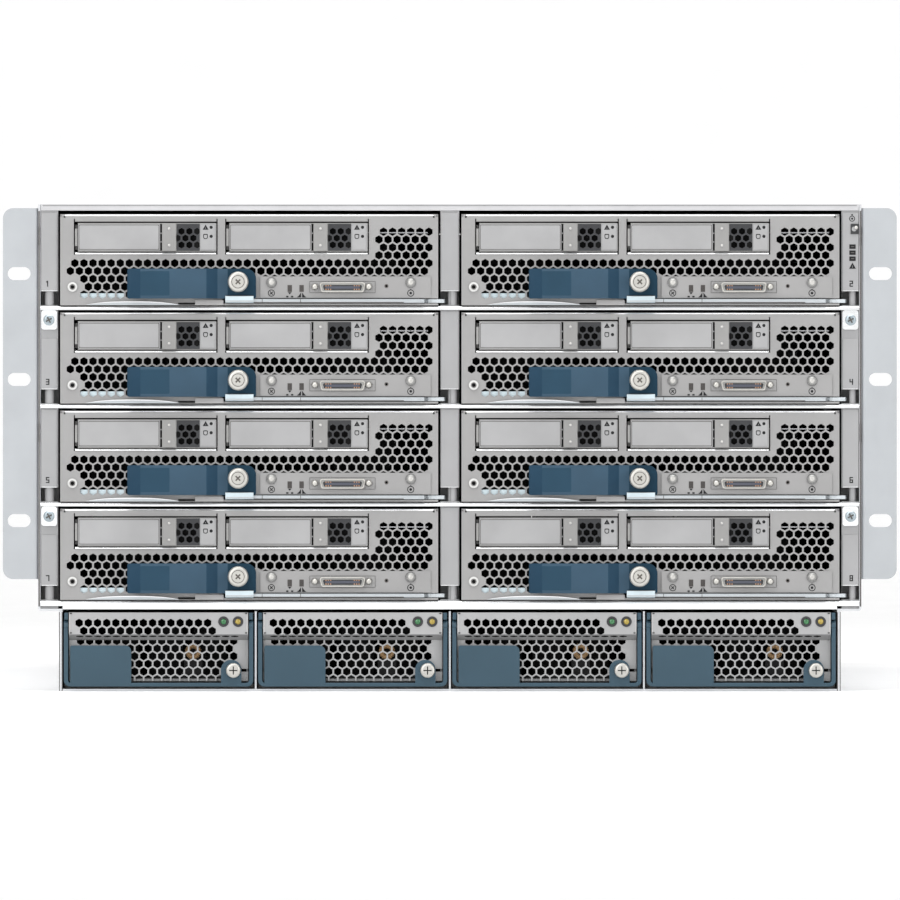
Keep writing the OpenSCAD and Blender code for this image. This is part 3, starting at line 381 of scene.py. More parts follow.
def plateShape(loops, depth, bevel):
    # a flat plate from outlines in X and Z, holes among them, with a rounded front edge
    y0, y1 = depth
    curve = bpy.data.curves.new("outline", "CURVE")
    curve.dimensions = "2D"
    curve.fill_mode = "BOTH"
    curve.extrude = max((y1 - y0) / 2 - bevel, 1e-7)
    curve.bevel_depth = bevel
    curve.bevel_resolution = 2
    curve.offset = -bevel
    for loop in loops:
        spline = curve.splines.new("POLY")
        spline.points.add(len(loop) - 1)
        for point, (x, z) in zip(spline.points, loop):
            point.co = (x, z, 0, 1)
        spline.use_cyclic_u = True
    temp = bpy.data.objects.new("outline", curve)
    mesh = temp.to_mesh()
    middle = (y0 + y1) / 2
    verts = [Vector((v.co.x, middle - v.co.z, v.co.y)) for v in mesh.vertices]
    faces = [list(p.vertices) for p in mesh.polygons]
    temp.to_mesh_clear()
    bpy.data.objects.remove(temp)
    bpy.data.curves.remove(curve)
    return verts, faces


def prismShape(outline, ends, upright=False):
    # an outline with closed ends: in Y and Z run along X, or upright in X and Y run along Z
    n = len(outline)
    verts = [Vector((*point, t) if upright else (t, *point)) for t in ends for point in outline]
    faces = [[i, (i + 1) % n, n + (i + 1) % n, n + i] for i in range(n)]
    faces += [list(range(n - 1, -1, -1)), list(range(n, 2 * n))]
    return verts, faces


def latheShape(profile, x, z, n):
    # a profile of (radius, y) turned round an axis along Y
    verts, rings, faces = [], [], []
    for r, y in profile:
        spots = [(x, z)] if r < 1e-6 else circleLoop(x, z, r, n)
        rings.append(list(range(len(verts), len(verts) + len(spots))))
        verts += [Vector((u, y, v)) for u, v in spots]
    for a, b in zip(rings, rings[1:]):
        for i in range(n):
            j = (i + 1) % n
            if len(a) == 1:
                faces.append([a[0], b[i], b[j]])
            elif len(b) == 1:
                faces.append([a[i], b[0], a[j]])
            else:
                faces.append([a[i], b[i], b[j], a[j]])
    return verts, faces


class Piece:
    # one mesh, gathered from parts that are placed in mm from its origin
    def __init__(self, origin=(0, 0, 0)):
        self.origin = Vector(origin)
        self.parts = []

    def add(self, shape, mat, smooth=True, spin=None, shift=(0, 0, 0)):
        verts, faces = shape
        if spin:
            verts = [spin @ v for v in verts]
        base = self.origin + Vector(shift)
        self.parts.append(([(base + v) * mm for v in verts], faces, mat, smooth))

    def plate(self, loops, depth, mat, bevel=0.0):
        self.add(plateShape(loops, depth, bevel), mat)

    def panel(self, box, depth, mat, r=0.0, bevel=0.0):
        # a rectangular plate; box is its lower left and upper right corner
        self.plate([roundLoop(*box, r)], depth, mat, bevel)

    def turned(self, profile, at, mat, n=32):
        self.add(latheShape(profile, *at, n), mat)

    def ring(self, at, radii, depth, mat, n=32):
        (r0, r1), (y0, y1) = radii, depth
        e = min(0.12, (r1 - r0) / 4)  # rounding of its front edges
        profile = [(r0, y1), (r0, y0 + e), (r0 + e, y0), (r1 - e, y0), (r1, y0 + e), (r1, y1)]
        self.turned(profile, at, mat, n)

    def run(self, outline, ends, mat):
        self.add(prismShape(outline, ends), mat)

    def finish(self, name, body, replaces=()):
        mesh = bpy.data.meshes.new(name)
        verts, faces, mats, index, smooth = [], [], [], [], []
        for partVerts, partFaces, mat, isSmooth in self.parts:
            if mat not in mats:
                mats.append(mat)
            faces += [[len(verts) + i for i in f] for f in partFaces]
            verts += [tuple(v) for v in partVerts]
            index += [mats.index(mat)] * len(partFaces)
            smooth += [isSmooth] * len(partFaces)
        mesh.from_pydata(verts, [], faces)
        for mat in mats:
            mesh.materials.append(mat)
        mesh.polygons.foreach_set("material_index", index)
        mesh.polygons.foreach_set("use_smooth", smooth)
        mesh.update()
        mesh.set_sharp_from_angle(angle=math.radians(38))
        obj = bpy.data.objects.new(name, mesh)
        bpy.context.collection.objects.link(obj)
        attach(obj, body)
        if replaces:
            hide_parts(*replaces)


blade = {
    "width": 204.0,
    "faceBack": 4.6,  # how far the lowest Y of a blade lies in front of its face
    "bays": ((7.35, 84.95), (89.05, 166.65)),
    "bayGap": 0.65,
    "lip": ((0.0, 28.75), (-0.3, 28.65), (-0.85, 27.85), (-0.8, 27.65), (0.0, 27.5)),  # in Y and Z
    "lipInset": (0.8, 0.9),
    "bend": (-0.05, 47.95, 1.3, 1.2),  # middle of the fold along the top, and its radii
    "bendInset": 2.6,
    "backFlange": (5.5, 1.2, 34.5, 6.6),  # boxes: lower left and upper right corner
    "boardEdge": (160.0, 39.0, 198.5, 39.6),
    "gripFlange": (72.8, 0.1, 88.2, 2.95),
    "gripShadow": (63.6, 0.35, 72.8, 1.35),
    "buttons": (114.0, 189.2),
    "buttonZ": 12.3,
    "signZ": 6.6,  # the round signs under the buttons
    "windows": (123.9, 130.3),
    "window": (1.2, 7.2, 11.0),  # half its width, foot and head
    "bars": (4, 0.56, 0.28),  # how many in a window, their step and width
    "reset": (176.1, 10.4),
    "guide": (6.6, 9.9),
    "ink": (-0.92, -0.7),  # printed marks, front and back
    "overInk": (-0.93, -0.7),
}


def bladeOrigin(n):
    low = lowMm(f"blade_{n}")
    return Vector((low.x, low.y + blade["faceBack"], low.z))


def signRing(p, at, r, y):
    p.ring(at, (r - 0.42, r), (y, y + 0.2), matInkAndShade, 24)


def button(p, at):
    # a polished dome, lighter in its middle as painted highlight and darker towards its sides and rim as
    # painted shade
    p.turned([(0, -2.75), (0.7, -2.7), (1.25, -2.55)], at, matBallLit, 28)
    p.turned([(1.25, -2.55), (1.75, -2.3), (2.15, -2.0)], at, matBallShade, 28)
    p.turned([(2.15, -2.0), (2.5, -1.5), (2.68, -0.9), (2.68, -0.2)], at, matBallDeepShade, 28)


console = {
    "shell": (((141.0, 7.0), (163.8, 7.0), (165.0, 12.3), (139.8, 12.3)), 1.3),  # corners and radius
    "lip": (((141.6, 7.55), (163.2, 7.55), (164.3, 11.75), (140.5, 11.75)), 1.0),
    "mouth": (((142.4, 8.1), (162.4, 8.1), (163.1, 10.95), (141.7, 10.95)), 0.8),
    "tongue": (143.2, 8.9, 161.6, 10.3),
    "pins": (152.4, 8.9, 1.25, 3),  # middle, reach of the outermost, step, how many each side
    "pinRows": (8.55, 10.5),
    "pinHalf": (0.3, 0.35),
    "posts": (152.0, 14.6, 10.0),  # middle, reach to each side, height
}


def consoleSocket(p):
    # a shell wider at the top, a dark tongue, contacts near the ends, and a screw post each side; the
    # shell's inner lip, the mouth behind the tongue and the foot of each post are painted shade
    shell, lip, mouth = (roundPoly(*console[key]) for key in ("shell", "lip", "mouth"))
    p.plate([shell, lip], (-3.3, -1.1), matCream, 0.18)
    p.plate([lip, mouth], (-3.0, -2.7), matBallShade, 0.1)
    p.plate([mouth], (-2.75, -2.65), matBlack)
    p.panel(console["tongue"], (-2.95, -2.7), matTongue, 0.4, 0.1)
    middle, reach, step, count = console["pins"]
    halfX, halfZ = console["pinHalf"]
    postX, postReach, postZ = console["posts"]
    for side in (-1, 1):
        for z in console["pinRows"]:
            for i in range(count):
                x = middle + side * (reach - i * step)
                p.panel((x - halfX, z - halfZ, x + halfX, z + halfZ), (-2.9, -2.7), matCopperPin)
        at = (postX + side * postReach, postZ)
        dome = [(0, -5.6), (0.6, -5.55), (1.1, -5.35), (1.55, -4.8), (1.72, -4.2), (1.75, -3.2)]
        p.turned(dome, at, matCream, 24)
        p.turned([(1.75, -3.2), (1.9, -2.6), (1.9, -1.1)], at, matBallShade, 24)


pull = {
    "x": (13.9, 64.2),
    "foot": 0.2,
    "edge": 0.12,  # its height at the ends
    "rise": 1.85,
    "fullness": 2.6,
    "steps": 24,
}


def pullTab(p):
    # a thin leaf of sheet under the holes, highest in its middle, with a painted highlight along its upper
    # edge
    x0, x1 = pull["x"]
    stops = [i / pull["steps"] for i in range(pull["steps"] + 1)]

    def point(f, share, drop=0.0):
        rise = pull["rise"] * (1 - abs(2 * f - 1) ** pull["fullness"]) + pull["edge"]
        return x0 + (x1 - x0) * f, pull["foot"] + rise * share - drop

    for low, high, drop, depth, mat in ((0.0, 0.78, 0.05, (-1.9, -1.3), matArm),
                                        (0.7, 1.0, 0.0, (-2.2, -1.6), matZincAndHighlight)):
        upper = [point(f, high) for f in stops]
        p.plate([upper + [point(f, low, drop) for f in reversed(stops)]], depth, mat)


def bladeTrim(n):
    p = Piece(bladeOrigin(n))
    width, gap, ink, overInk = blade["width"], blade["bayGap"], blade["ink"], blade["overInk"]
    # sloped lip under each drive bay in bright zinc as a painted highlight, and the slots' ends beside it
    # dark with painted shade
    insetLeft, insetRight = blade["lipInset"]
    for x0, x1 in blade["bays"]:
        p.run(blade["lip"], (x0 + insetLeft, x1 - insetRight), matZincAndHighlight)
        for x in (x0, x1 - gap):
            p.panel((x, 27.4, x + gap, 28.6), (-0.03, 0.3), matDarkHole)
    # bend along the top in bright zinc as a painted highlight, and a notch at each end dark with painted
    # shade
    by, bz, ry, rz = blade["bend"]
    bend = [(by + ry * (1 - math.cos(math.radians(a))), bz + rz * math.sin(math.radians(a)))
            for a in range(20, 71, 10)]
    p.run([(0.6, 48.3)] + bend, (blade["bendInset"], width - blade["bendInset"]), matZincAndHighlight)
    for x in (1.9, width - 2.8):
        p.panel((x, 47.2, x + 0.9, 48.3), (-0.06, 0.2), matInkAndShade)
    # plated flange behind the lowest holes, and the edge of a board behind the highest
    p.panel(blade["backFlange"], (2.2, 2.9), matBlueZinc, 0.4, 0.1)
    p.panel(blade["boardEdge"], (7.0, 7.6), matZinc)
    # buttons with their signs
    left, right = blade["buttons"]
    z = blade["signZ"]
    for x in (left, right):
        button(p, (x, blade["buttonZ"]))
        signRing(p, (x, z), 1.9, ink[0])
    p.plate([crossLoop(left, z, 1.1, 0.22, 40)], overInk, matInkAndShade)
    p.plate([circleLoop(right, z, 0.7, 14)], overInk, matInkAndShade)
    p.plate([[(right - 0.5, 8.2), (right + 0.5, 8.2), (right, 9.0)]], overInk, matInkAndShade)
    # lamp windows with a hatched lens and a small mark beneath
    half, foot, head = blade["window"]
    count, step, barWidth = blade["bars"]
    for x in blade["windows"]:
        p.panel((x - half, foot, x + half, head), (-0.95, -0.7), matHatchAndShade, 0.2, 0.04)
        for i in range(count):
            bar = x - half + 0.2 + i * step
            p.panel((bar, foot + 0.2, bar + barWidth, head - 0.2), (-1.0, -0.9), matInkAndShade)
    x, x2 = blade["windows"]
    p.plate([[(x - 0.95, 7.0), (x, 5.9), (x + 0.95, 7.0)]], ink, matInkAndShade)
    for dx in (-1.9, 0.7):
        p.panel((x + dx, 4.3, x + dx + 1.2, 5.1), ink, matInkAndShade)
    for side in (-1, 1):
        mark = [(x2 + side * dx, dz) for dx, dz in ((0.3, 4.3), (2.5, 4.3), (1.5, 5.2), (0.3, 6.9))]
        p.plate([mark[::side]], ink, matInkAndShade)
    consoleSocket(p)
    # reset hole, and the round guide at the lower left; the hole's bottom, the guide's middle and its grey
    # bevel are painted shade
    p.ring(blade["reset"], (0.65, 1.15), (-0.9, -0.6), matHatchAndShade, 18)
    p.turned([(0, -0.82), (0.65, -0.82)], blade["reset"], matDarkHole, 16)
    at = blade["guide"]
    p.turned([(2.62, -0.3), (2.62, -0.75), (2.4, -0.9), (1.55, -0.9)], at, matWhite, 28)
    p.turned([(1.55, -0.9), (1.15, -0.5), (1.15, -0.2)], at, matHatchAndShade, 28)
    p.turned([(0, -0.3), (1.15, -0.3)], at, matDarkHole, 18)
    # flange, shadow and pull tab under the grip
    p.panel(blade["gripFlange"], (-0.85, 0.0), matPanel, 0.4, 0.2)
    p.panel(blade["gripShadow"], (-0.4, -0.05), matDarkHole, 0.3)
    pullTab(p)
    p.finish(f"bladeTrim{n}", f"blade_{n}")


drive = {
    "size": (76.3, 15.4),
    "front": 2.1,  # how far the lowest Y of a drive lies in front of the blade's face
    "latch": (1.6, 0.5, 46.0, 14.95),
    "latchNubs": (5.2, 9.9),
    "strip": (47.0, 54.6),
    "mesh": (54.95, 67.25),
    "hex": (57.45, 3.6, 4.27),  # middle of the first hole, and the pitch
    "hexR": 1.9,
    "rowStep": 0.86,  # of the pitch
    "lamps": ((73.5, 8.2), (73.5, 13.1)),
    "drum": (69.2, 6.8, 71.7, 9.5),
    "drumInner": (69.6, 7.2, 71.3, 9.0),
    "ink": (-1.34, -1.25),
}


def driveTrim(n, side):
    node = f"drive_{side}_{n}"
    low = lowMm(node)
    p = Piece((low.x, low.y + drive["front"], low.z))
    w, h = drive["size"]
    # latch plate with its pressed rim
    x0, z0, x1, z1 = drive["latch"]
    raised = (x0 + 0.75, z0 + 0.8, x1 - 0.85, z1 - 0.8)
    p.panel(drive["latch"], (-1.25, -0.2), matRim, 0.7, 0.25)
    p.panel(raised, (-1.36, -1.1), matLatch, 0.5, 0.09)
    edge = roundLoop(x0 + 0.45, z0 + 0.5, x1 - 0.5, z1 - 0.45, 0.5)
    p.plate([edge, roundLoop(*raised, 0.5)], (-1.27, -1.2), matLine)
    # the gap beside the plate is dark with painted shade
    p.panel((x1 + 0.05, z0, x1 + 0.95, z1), (-0.96, -0.9), matDarkHole)
    for z in drive["latchNubs"]:
        p.panel((x1 + 0.15, z - 0.35, x1 + 0.75, z + 0.35), (-1.02, -0.95), matRim)
    # strip with two rivets
    s0, s1 = drive["strip"]
    x = (s0 + s1) / 2
    p.panel((s0, 0.25, s1, h - 0.15), (-1.9, -0.9), matStrip, 0.4, 0.25)
    # each rivet has a lighter top, lit like a button's, and a darker ring of painted shade round it
    for z in (3.3, h - 3.1):
        p.turned([(0, -2.3), (0.45, -2.26), (0.62, -2.15)], (x, z + 0.1), matBallLit, 18)
        p.turned([(0.6, -2.15), (0.9, -2.1), (1.0, -1.8)], (x, z), matRim, 18)
    # perforated field, darker than the rest, with folds over it
    m0, m1 = drive["mesh"]
    hx, hz, pitch = drive["hex"]
    r, rowStep = drive["hexR"], drive["rowStep"]
    holes = []
    for j in range(3):
        for i in range(3):
            x = hx + (i - (j % 2) / 2) * pitch
            if m0 < x - r and x + r < m1:
                holes.append(circleLoop(x, hz + j * pitch * rowStep, r, 6, 30))
    p.plate([roundLoop(m0, 0.4, m1, h - 0.4)] + holes, (-1.12, -0.96), matMesh)
    # the holes cut by the edges are dark patches of painted shade
    for x, row in ((hx - pitch / 2, 1), (hx + 2 * pitch, 0), (hx + 2 * pitch, 2)):  # cut by the edges
        whole = circleLoop(x, hz + row * rowStep * pitch, r, 6, 30)
        p.plate([[(min(max(px, m0), m1), pz) for px, pz in whole]], (-1.14, -1.1), matDarkHole)
    for z in (h - 2.5, h - 1.5):
        p.panel((m0, z, m1, z + 0.35), (-1.2, -1.1), matBlack)
    # plate with two lamps and their signs
    p.panel((m1 + 0.1, 0.4, w - 0.2, h - 0.2), (-1.2, -0.2), matRim, 0.5, 0.2)
    p.panel((m1 + 0.75, 1.1, w - 0.85, h - 0.9), (-1.3, -1.1), matLatch, 0.4, 0.07)
    for at in drive["lamps"]:
        p.turned([(0, -1.42), (0.5, -1.4), (0.95, -1.28)], at, matInkAndShade, 18)
    triangle = [(68.9, 11.8), (72.1, 11.8), (70.5, 14.5)]
    p.plate([triangle, [(70.35, 12.3), (70.5, 13.3), (70.65, 12.3)]], drive["ink"], matInkAndShade)
    p.plate([roundLoop(*drive["drum"], (1.0, 1.0, 0.5, 0.5)),
             roundLoop(*drive["drumInner"], (0.7, 0.7, 0.3, 0.3))], drive["ink"], matInkAndShade)
    p.finish(f"driveTrim_{side}_{n}", node)


lever = {
    "gripX": (36.35, 105.75),
    "gripZ": (3.55, 19.75),
    "highY": -8.3,
    "lowY": -3.8,
    "thick": 1.8,
    "bendX": 43.6,
    "cornerR": 5.4,  # upper right; the lower right has footR and the left ends endR
    "footR": 1.2,
    "endR": 1.0,
    "edge": 0.55,  # how far the edges turn back
    "recess": (7.1, 22.8),
    "recessZ": (5.2, 18.3),
    "screw": (96.1, 12.6),
    "screwR": 5.55,
    "screwY": -9.5,
    "ridges": 28,
    "armZ": (1.35, 3.35),
    "armSeams": (108.9, 129.6),
    "tab": (89.2, 104.4),
    "pivot": (199.5, 6.0),
}


def roundOff(r, past):
    # how much a rounded corner takes off, at a distance past the start of its arc
    return r - math.sqrt(max(r ** 2 - past ** 2, 0.0))


def gripPart(p, x0, x1, mat):
    # one stretch of a sheet that runs high over the finger gap, bends, and lies low under the screw
    g0, g1 = lever["gripX"]
    z0, z1 = lever["gripZ"]
    b = g0 + lever["bendX"]
    hi, low, t, e = lever["highY"], lever["lowY"], lever["thick"], lever["edge"]
    path = [(g0, hi + 0.5), (g0 + 0.3, hi + 0.15), (g0 + 1.0, hi), (b - 0.9, hi), (b + 0.2, hi + 0.25),
            (b + 4.6, low - 0.25), (b + 5.6, low), (g1, low)]
    cornerR, footR, endR = lever["cornerR"], lever["footR"], lever["endR"]

    def depth(x):
        for (xa, ya), (xb, yb) in zip(path, path[1:]):
            if xa <= x <= xb:
                return ya + (yb - ya) * (x - xa) / (xb - xa)
        return path[-1][1]

    stops = {x0, x1} | {x for x, y in path if x0 < x < x1}
    if x1 > g1 - cornerR:
        stops |= {g1 - cornerR + cornerR * math.sin(math.radians(a)) for a in range(0, 91, 9)}
    verts, faces, columns = [], [], []
    for x in sorted(s for s in stops if x0 <= s <= x1):
        drop = foot = 0.0
        if x > g1 - cornerR:
            drop = roundOff(cornerR, x - g1 + cornerR)
        if x > g1 - footR:
            foot = roundOff(footR, x - g1 + footR)
        if x < g0 + endR:
            drop = foot = roundOff(endR, g0 + endR - x)
        top, base, y = z1 - drop, z0 + foot, depth(x)
        section = [(y + t, base), (y + e, base), (y + 0.16, base + 0.16), (y, base + e), (y, top - e),
                   (y + 0.16, top - 0.16), (y + e, top), (y + t, top)]
        columns.append([len(verts) + k for k in range(len(section))])
        verts += [Vector((x, sy, sz)) for sy, sz in section]
    m = len(columns[0])
    for a, c in zip(columns, columns[1:]):
        for k in range(m):
            faces.append([a[k], a[(k + 1) % m], c[(k + 1) % m], c[k]])
    p.add((verts, faces + [columns[0][::-1], columns[-1]]), mat)


def leverPiece(n):
    p = Piece(bladeOrigin(n))
    z0, z1 = lever["armZ"]
    px, py = lever["pivot"]
    t0, t1 = lever["tab"]
    # arm with its eye round the pivot, and the hook beyond it
    outline = [(t0, -2.5), (px - 14, -2.5), (px - 8, -2.0), (px - 3, -1.2)]
    outline += arc(px, py, 4.4, [-100 + 15 * i for i in range(4)])
    outline += arc(px + 6.6, py, 2.2, [-90 + 22.5 * i for i in range(9)])
    outline += arc(px, py, 4.4, [45 + 15 * i for i in range(6)])
    outline += [(px - 8, 5.6), (px - 14, 4.6), (t0, 4.6)]
    p.add(prismShape(outline, lever["armZ"], True), matArm)
    for x in lever["armSeams"]:
        p.panel((x, z0 + 0.05, x + 0.35, z1 - 0.05), (-2.56, -2.4), matLine)
    # a dark line of painted shade along the arm's lower edge
    p.panel((t1, z0 - 0.02, px - 14, z0 + 0.4), (-2.56, -2.4), matLine)
    p.panel((t0, 1.35, t1, 18.3), (-1.9, -0.7), matZinc, (0.2, 0.2, 2, 2), 0.2)
    # the arm's front folds up over the grip's lower edge; the fold's lower stretch and a line along its top
    # are darkened as painted shade
    fold = [(-4.75, 1.7), (-4.35, 1.3), (-1.9, 1.3), (-1.9, 1.9), (-4.0, 1.9), (-4.0, 5.0), (-4.4, 5.1),
            (-4.75, 4.8)]
    p.run(fold, lever["tab"], matBlueZinc)
    p.panel((t0 + 0.05, 1.75, t1 - 0.05, 2.65), (-4.79, -4.7), matArm)
    p.panel((t0 + 0.05, 4.95, t1 - 0.05, 5.15), (-4.6, -4.2), matLine)
    # grip in stretches of its blue, with painted shade at its left end and bend, painted shadow on its low
    # part round the screw, and a recess for a name, left bare and darkened as painted shade
    g0, g1 = lever["gripX"]
    b = g0 + lever["bendX"]
    r0, r1 = (g0 + x for x in lever["recess"])
    for xa, xb, mat in ((g0, r0, matGripShade), (r0, b - 0.9, matGrip), (b - 0.9, b + 5.0, matGripShade),
                        (b + 5.0, b + 10.5, matGrip), (b + 10.5, g1, matGripFootShadow)):
        gripPart(p, xa, xb, mat)
    foot, head = lever["recessZ"]
    p.panel((r0, foot, r1, head), (lever["highY"] - 0.03, lever["highY"] + 0.3), matGripPocketShade, 0.5)
    # captive screw: a knurled head with a turned ring and a small cross
    sx, sz = at = lever["screw"]
    r, yf = lever["screwR"], lever["screwY"]
    p.turned([(3.55, yf), (4.6, yf + 0.05), (5.1, yf + 0.35), (5.35, yf + 1.0)], at, matCream, 48)
    p.turned([(5.35, yf + 1.0), (5.35, yf + 4.6), (r, yf + 4.8), (r, yf + 5.6)], at, matScrew, 48)
    # the dark ring in the face's groove and the cross's dark floor are painted shade
    p.turned([(3.2, yf), (3.2, yf + 0.3), (3.55, yf + 0.3), (3.55, yf)], at, matHatchAndShade, 40)
    p.plate([circleLoop(sx, sz, 3.2, 40), crossLoop(sx, sz, 1.75, 0.42, 45)], (yf, yf + 0.5), matCream)
    p.turned([(0, yf + 0.45), (3.1, yf + 0.45)], at, matCrossShade, 24)
    for k in range(lever["ridges"]):
        turn = Matrix.Rotation(-2 * math.pi * k / lever["ridges"], 4, "Y")
        ridge = plateShape([roundLoop(5.2, -0.22, 5.5, 0.22)], (yf + 1.0, yf + 4.5), 0.0)
        p.add(ridge, matScrew, spin=turn, shift=(sx, 0, sz))
    p.turned([(1.6, -3.9), (1.6, 2.6), (1.2, 3.0), (0, 3.0)], at, matZinc, 20)
    p.finish(f"bladeLever{n}", f"blade_lever_{n}", [f"blade_lever_{n}"])


supply = {
    "w": 102.2,
    "lamps": ((86.2, matGreen), (94.0, matAmber)),
    "lampZ": 36.1,
    "edgeStrip": (2.8, 0.9, 29.6, 40.9),  # inset, width, foot and head
    "armStrip": (0.25, 37.15, 40.85),  # inset, foot and head
    "plate": (3.4, 36.4, 1.0, 23.2),
    "tab": (84.8, 95.8, 1.0, 15.4),
    "screw": (91.5, 9.75),
    "slope": (29.3, 26.0, 4.6),  # its top and foot in Z, and how far back the foot lies
    "slopeHex": (8.62, 4.92, 18),  # first hole in the slope, pitch, and how many at most
    "slopeHexZ": 28.1,
    "slopeHexHalf": (2.25, 0.45),
    "choke": (69.5, 15.0, 19.8),
    "chokeR": (2.95, 1.4),
    "chokeTurns": 26,
    "armW": 2.3,
    "pivot": (5.0, 33.0, 4.0),
    "frameY": (1.0, 9.0),
    "bailY": (0.9, 2.6),
}


def supplyOrigin(n):
    return lowMm(f"supply_{n}")


def chokeShape(middle, big, small, turns):
    # a toroid seen along Y, with the ridges of its winding
    x, y, z = middle
    around, across = turns * 6, 12
    verts, faces = [], []
    for i in range(around):
        a = 2 * math.pi * i / around
        r = small * (1 + 0.1 * math.cos(a * turns))
        for k in range(across):
            b = 2 * math.pi * k / across
            d = big + r * math.cos(b)
            verts.append(Vector((x + d * math.cos(a), y + r * math.sin(b), z + d * math.sin(a))))
            j, m = (i + 1) % around, (k + 1) % across
            faces.append([i * across + k, i * across + m, j * across + m, j * across + k])
    return verts, faces


def slopePatch(p, loop, lift, mat):
    # a flat patch laid on the slope, from its outline as seen from the front
    top, foot, back = supply["slope"]
    verts = []
    for x, z in loop:
        z = min(max(z, foot + 0.05), top - 0.05)
        verts.append(Vector((x, back * (top - z) / (top - foot) - lift, z + 0.4 * lift)))
    p.add((verts, [list(range(len(verts)))]), mat, False)


def supplyTrim(n):
    p = Piece(supplyOrigin(n))
    w = supply["w"]
    for x, lampMat in supply["lamps"]:
        at = (x, supply["lampZ"])
        p.ring(at, (1.6, 2.85), (-0.4, 0.4), matBlack)
        p.turned([(0, -0.5), (0.9, -0.4), (1.5, -0.05), (1.62, 0.3)], at, lampMat, 24)
    # edge strips of the front, and blue strips beside it over the handle's arms
    inset, stripW, foot, head = supply["edgeStrip"]
    for x in (inset, w - inset - stripW):
        p.panel((x, foot, x + stripW, head), (-0.15, 0.3), matPanel, 0.0, 0.05)
    inset, foot, head = supply["armStrip"]
    for x in (inset, w - supply["armW"]):
        p.panel((x, foot, x + supply["armW"] - inset, head), (1.1, 9.0), matBail, 0.1, 0.1)
    for x, z in ((3.2, 40.2), (w - 4.4, 40.2), (3.2, 29.7), (w - 4.4, 29.7)):
        p.panel((x, z, x + 1.2, z + 0.6), (-0.2, 0.1), matInkAndShade, 0.2)
    # the slope lies in painted shade, with a row of holes over it drawn as dark patches of painted shade
    top, foot, back = supply["slope"]
    slopePatch(p, roundLoop(2.95, foot + 0.1, w - 2.95, top - 0.2), 0.02, matSlope)
    x0, pitch, count = supply["slopeHex"]
    halfX, halfZ = supply["slopeHexHalf"]
    for i in range(count):
        x = x0 + i * pitch
        if x + 2.1 <= w - 3.4:
            hole = arc(0, 0, 1, range(30, 390, 60))
            dash = [(x + halfX * u, supply["slopeHexZ"] + halfZ * v) for u, v in hole]
            slopePatch(p, dash, 0.05, matDarkHole)
    cx, cy, cz = supply["choke"]
    p.add(chokeShape(supply["choke"], *supply["chokeR"], supply["chokeTurns"]), matWinding)
    p.turned([(1.2, 12.9), (1.2, 17.5)], (cx, cz), matBoard, 16)
    p.finish(f"supplyTrim{n}", f"supply_{n}")


def bailPiece(n):
    p = Piece(supplyOrigin(n))
    w, arm = supply["w"], supply["armW"]
    py, pz, pr = supply["pivot"]
    # arms and the bar along the foot as one bent frame, and the round ends at the pivots
    outer = [q for q in roundLoop(0, 1.0, w, 40.0, (3.4, 3.4, 0, 0), 6) if q[1] < pz]
    gap = [q for q in roundLoop(arm, 3.0, w - arm, 41.0, (1.5, 1.5, 0, 0), 5) if q[1] < pz]
    frameLoop = outer + [(w, pz), (w - arm, pz)] + gap[::-1] + [(arm, pz), (0, pz)]
    p.plate([frameLoop], supply["frameY"], matBail, 0.35)
    top = arc(py, pz, pr, range(0, 181, 12))
    for x, outside, turn in ((0.0, 0.0, -90), (w - arm, w, 90)):
        p.run(top, (x, x + arm), matBail)
        knob = latheShape([(0, -0.04), (1.2, -0.03), (1.6, 0.02)], 0, 0, 20)
        p.add(knob, matNickel, spin=Matrix.Rotation(math.radians(turn), 4, "Z"), shift=(outside, py, pz))
    for key, radii, steps in (("plate", (1.2, 1.2, 3.2, 1.0), 4), ("tab", (0.5, 0.5, 5.2, 5.2), 8)):
        x0, x1, z0, z1 = supply[key]
        p.plate([roundLoop(x0, z0, x1, z1, radii, steps)], supply["bailY"], matBail, 0.3)
    # its screw, the cross dark with painted shade
    sx, sz = at = supply["screw"]
    p.turned([(2.5, -2.0), (3.4, -1.9), (3.85, -1.5), (4.0, -0.8), (4.1, 0.9)], at, matCream, 36)
    p.plate([circleLoop(sx, sz, 2.5, 32), crossLoop(sx, sz, 2.2, 0.3)], (-2.0, -1.4), matCream)
    p.turned([(0, -1.5), (2.4, -1.5)], at, matInkAndShade, 20)
    p.turned([(2.0, 0.5), (2.0, 4.0), (1.6, 4.2), (0, 4.2)], at, matZinc, 20)
    p.finish(f"supplyBail{n}", f"supply_handle_{n}", [f"supply_handle_{n}"])


strokes = ("bc", "abged", "abgcd", "fgbc", "afgcd", "afgedc", "abc", "abcdefg")  # of the digits 1 to 8


def digit(p, number, x, z, height, y):
    # a plain slot number drawn with straight strokes
    h, w, t = height / 2, height * 0.5, height * 0.2
    depth = (y - 0.05, y + 0.05)
    bars = {"a": (0, h * 2, w, h * 2), "g": (0, h, w, h), "d": (0, 0, w, 0), "b": (w, h, w, 2 * h),
            "c": (w, 0, w, h), "e": (0, 0, 0, h), "f": (0, h, 0, 2 * h)}
    left, foot = x - (w if number == 1 else w / 2), z - h
    for key in strokes[number - 1]:
        x0, z0, x1, z1 = bars[key]
        p.panel((left + x0 - t / 2, foot + z0 - t / 2, left + x1 + t / 2, foot + z1 + t / 2), depth, matInkAndShade)
    if number == 1:
        flag = [(x - t / 2, z + h - t * 1.4), (x + t / 2, z + h + t / 2), (x - t / 2, z + h + t / 2),
                (x - t * 1.8, z + h - t)]
        p.plate([flag], depth, matInkAndShade)


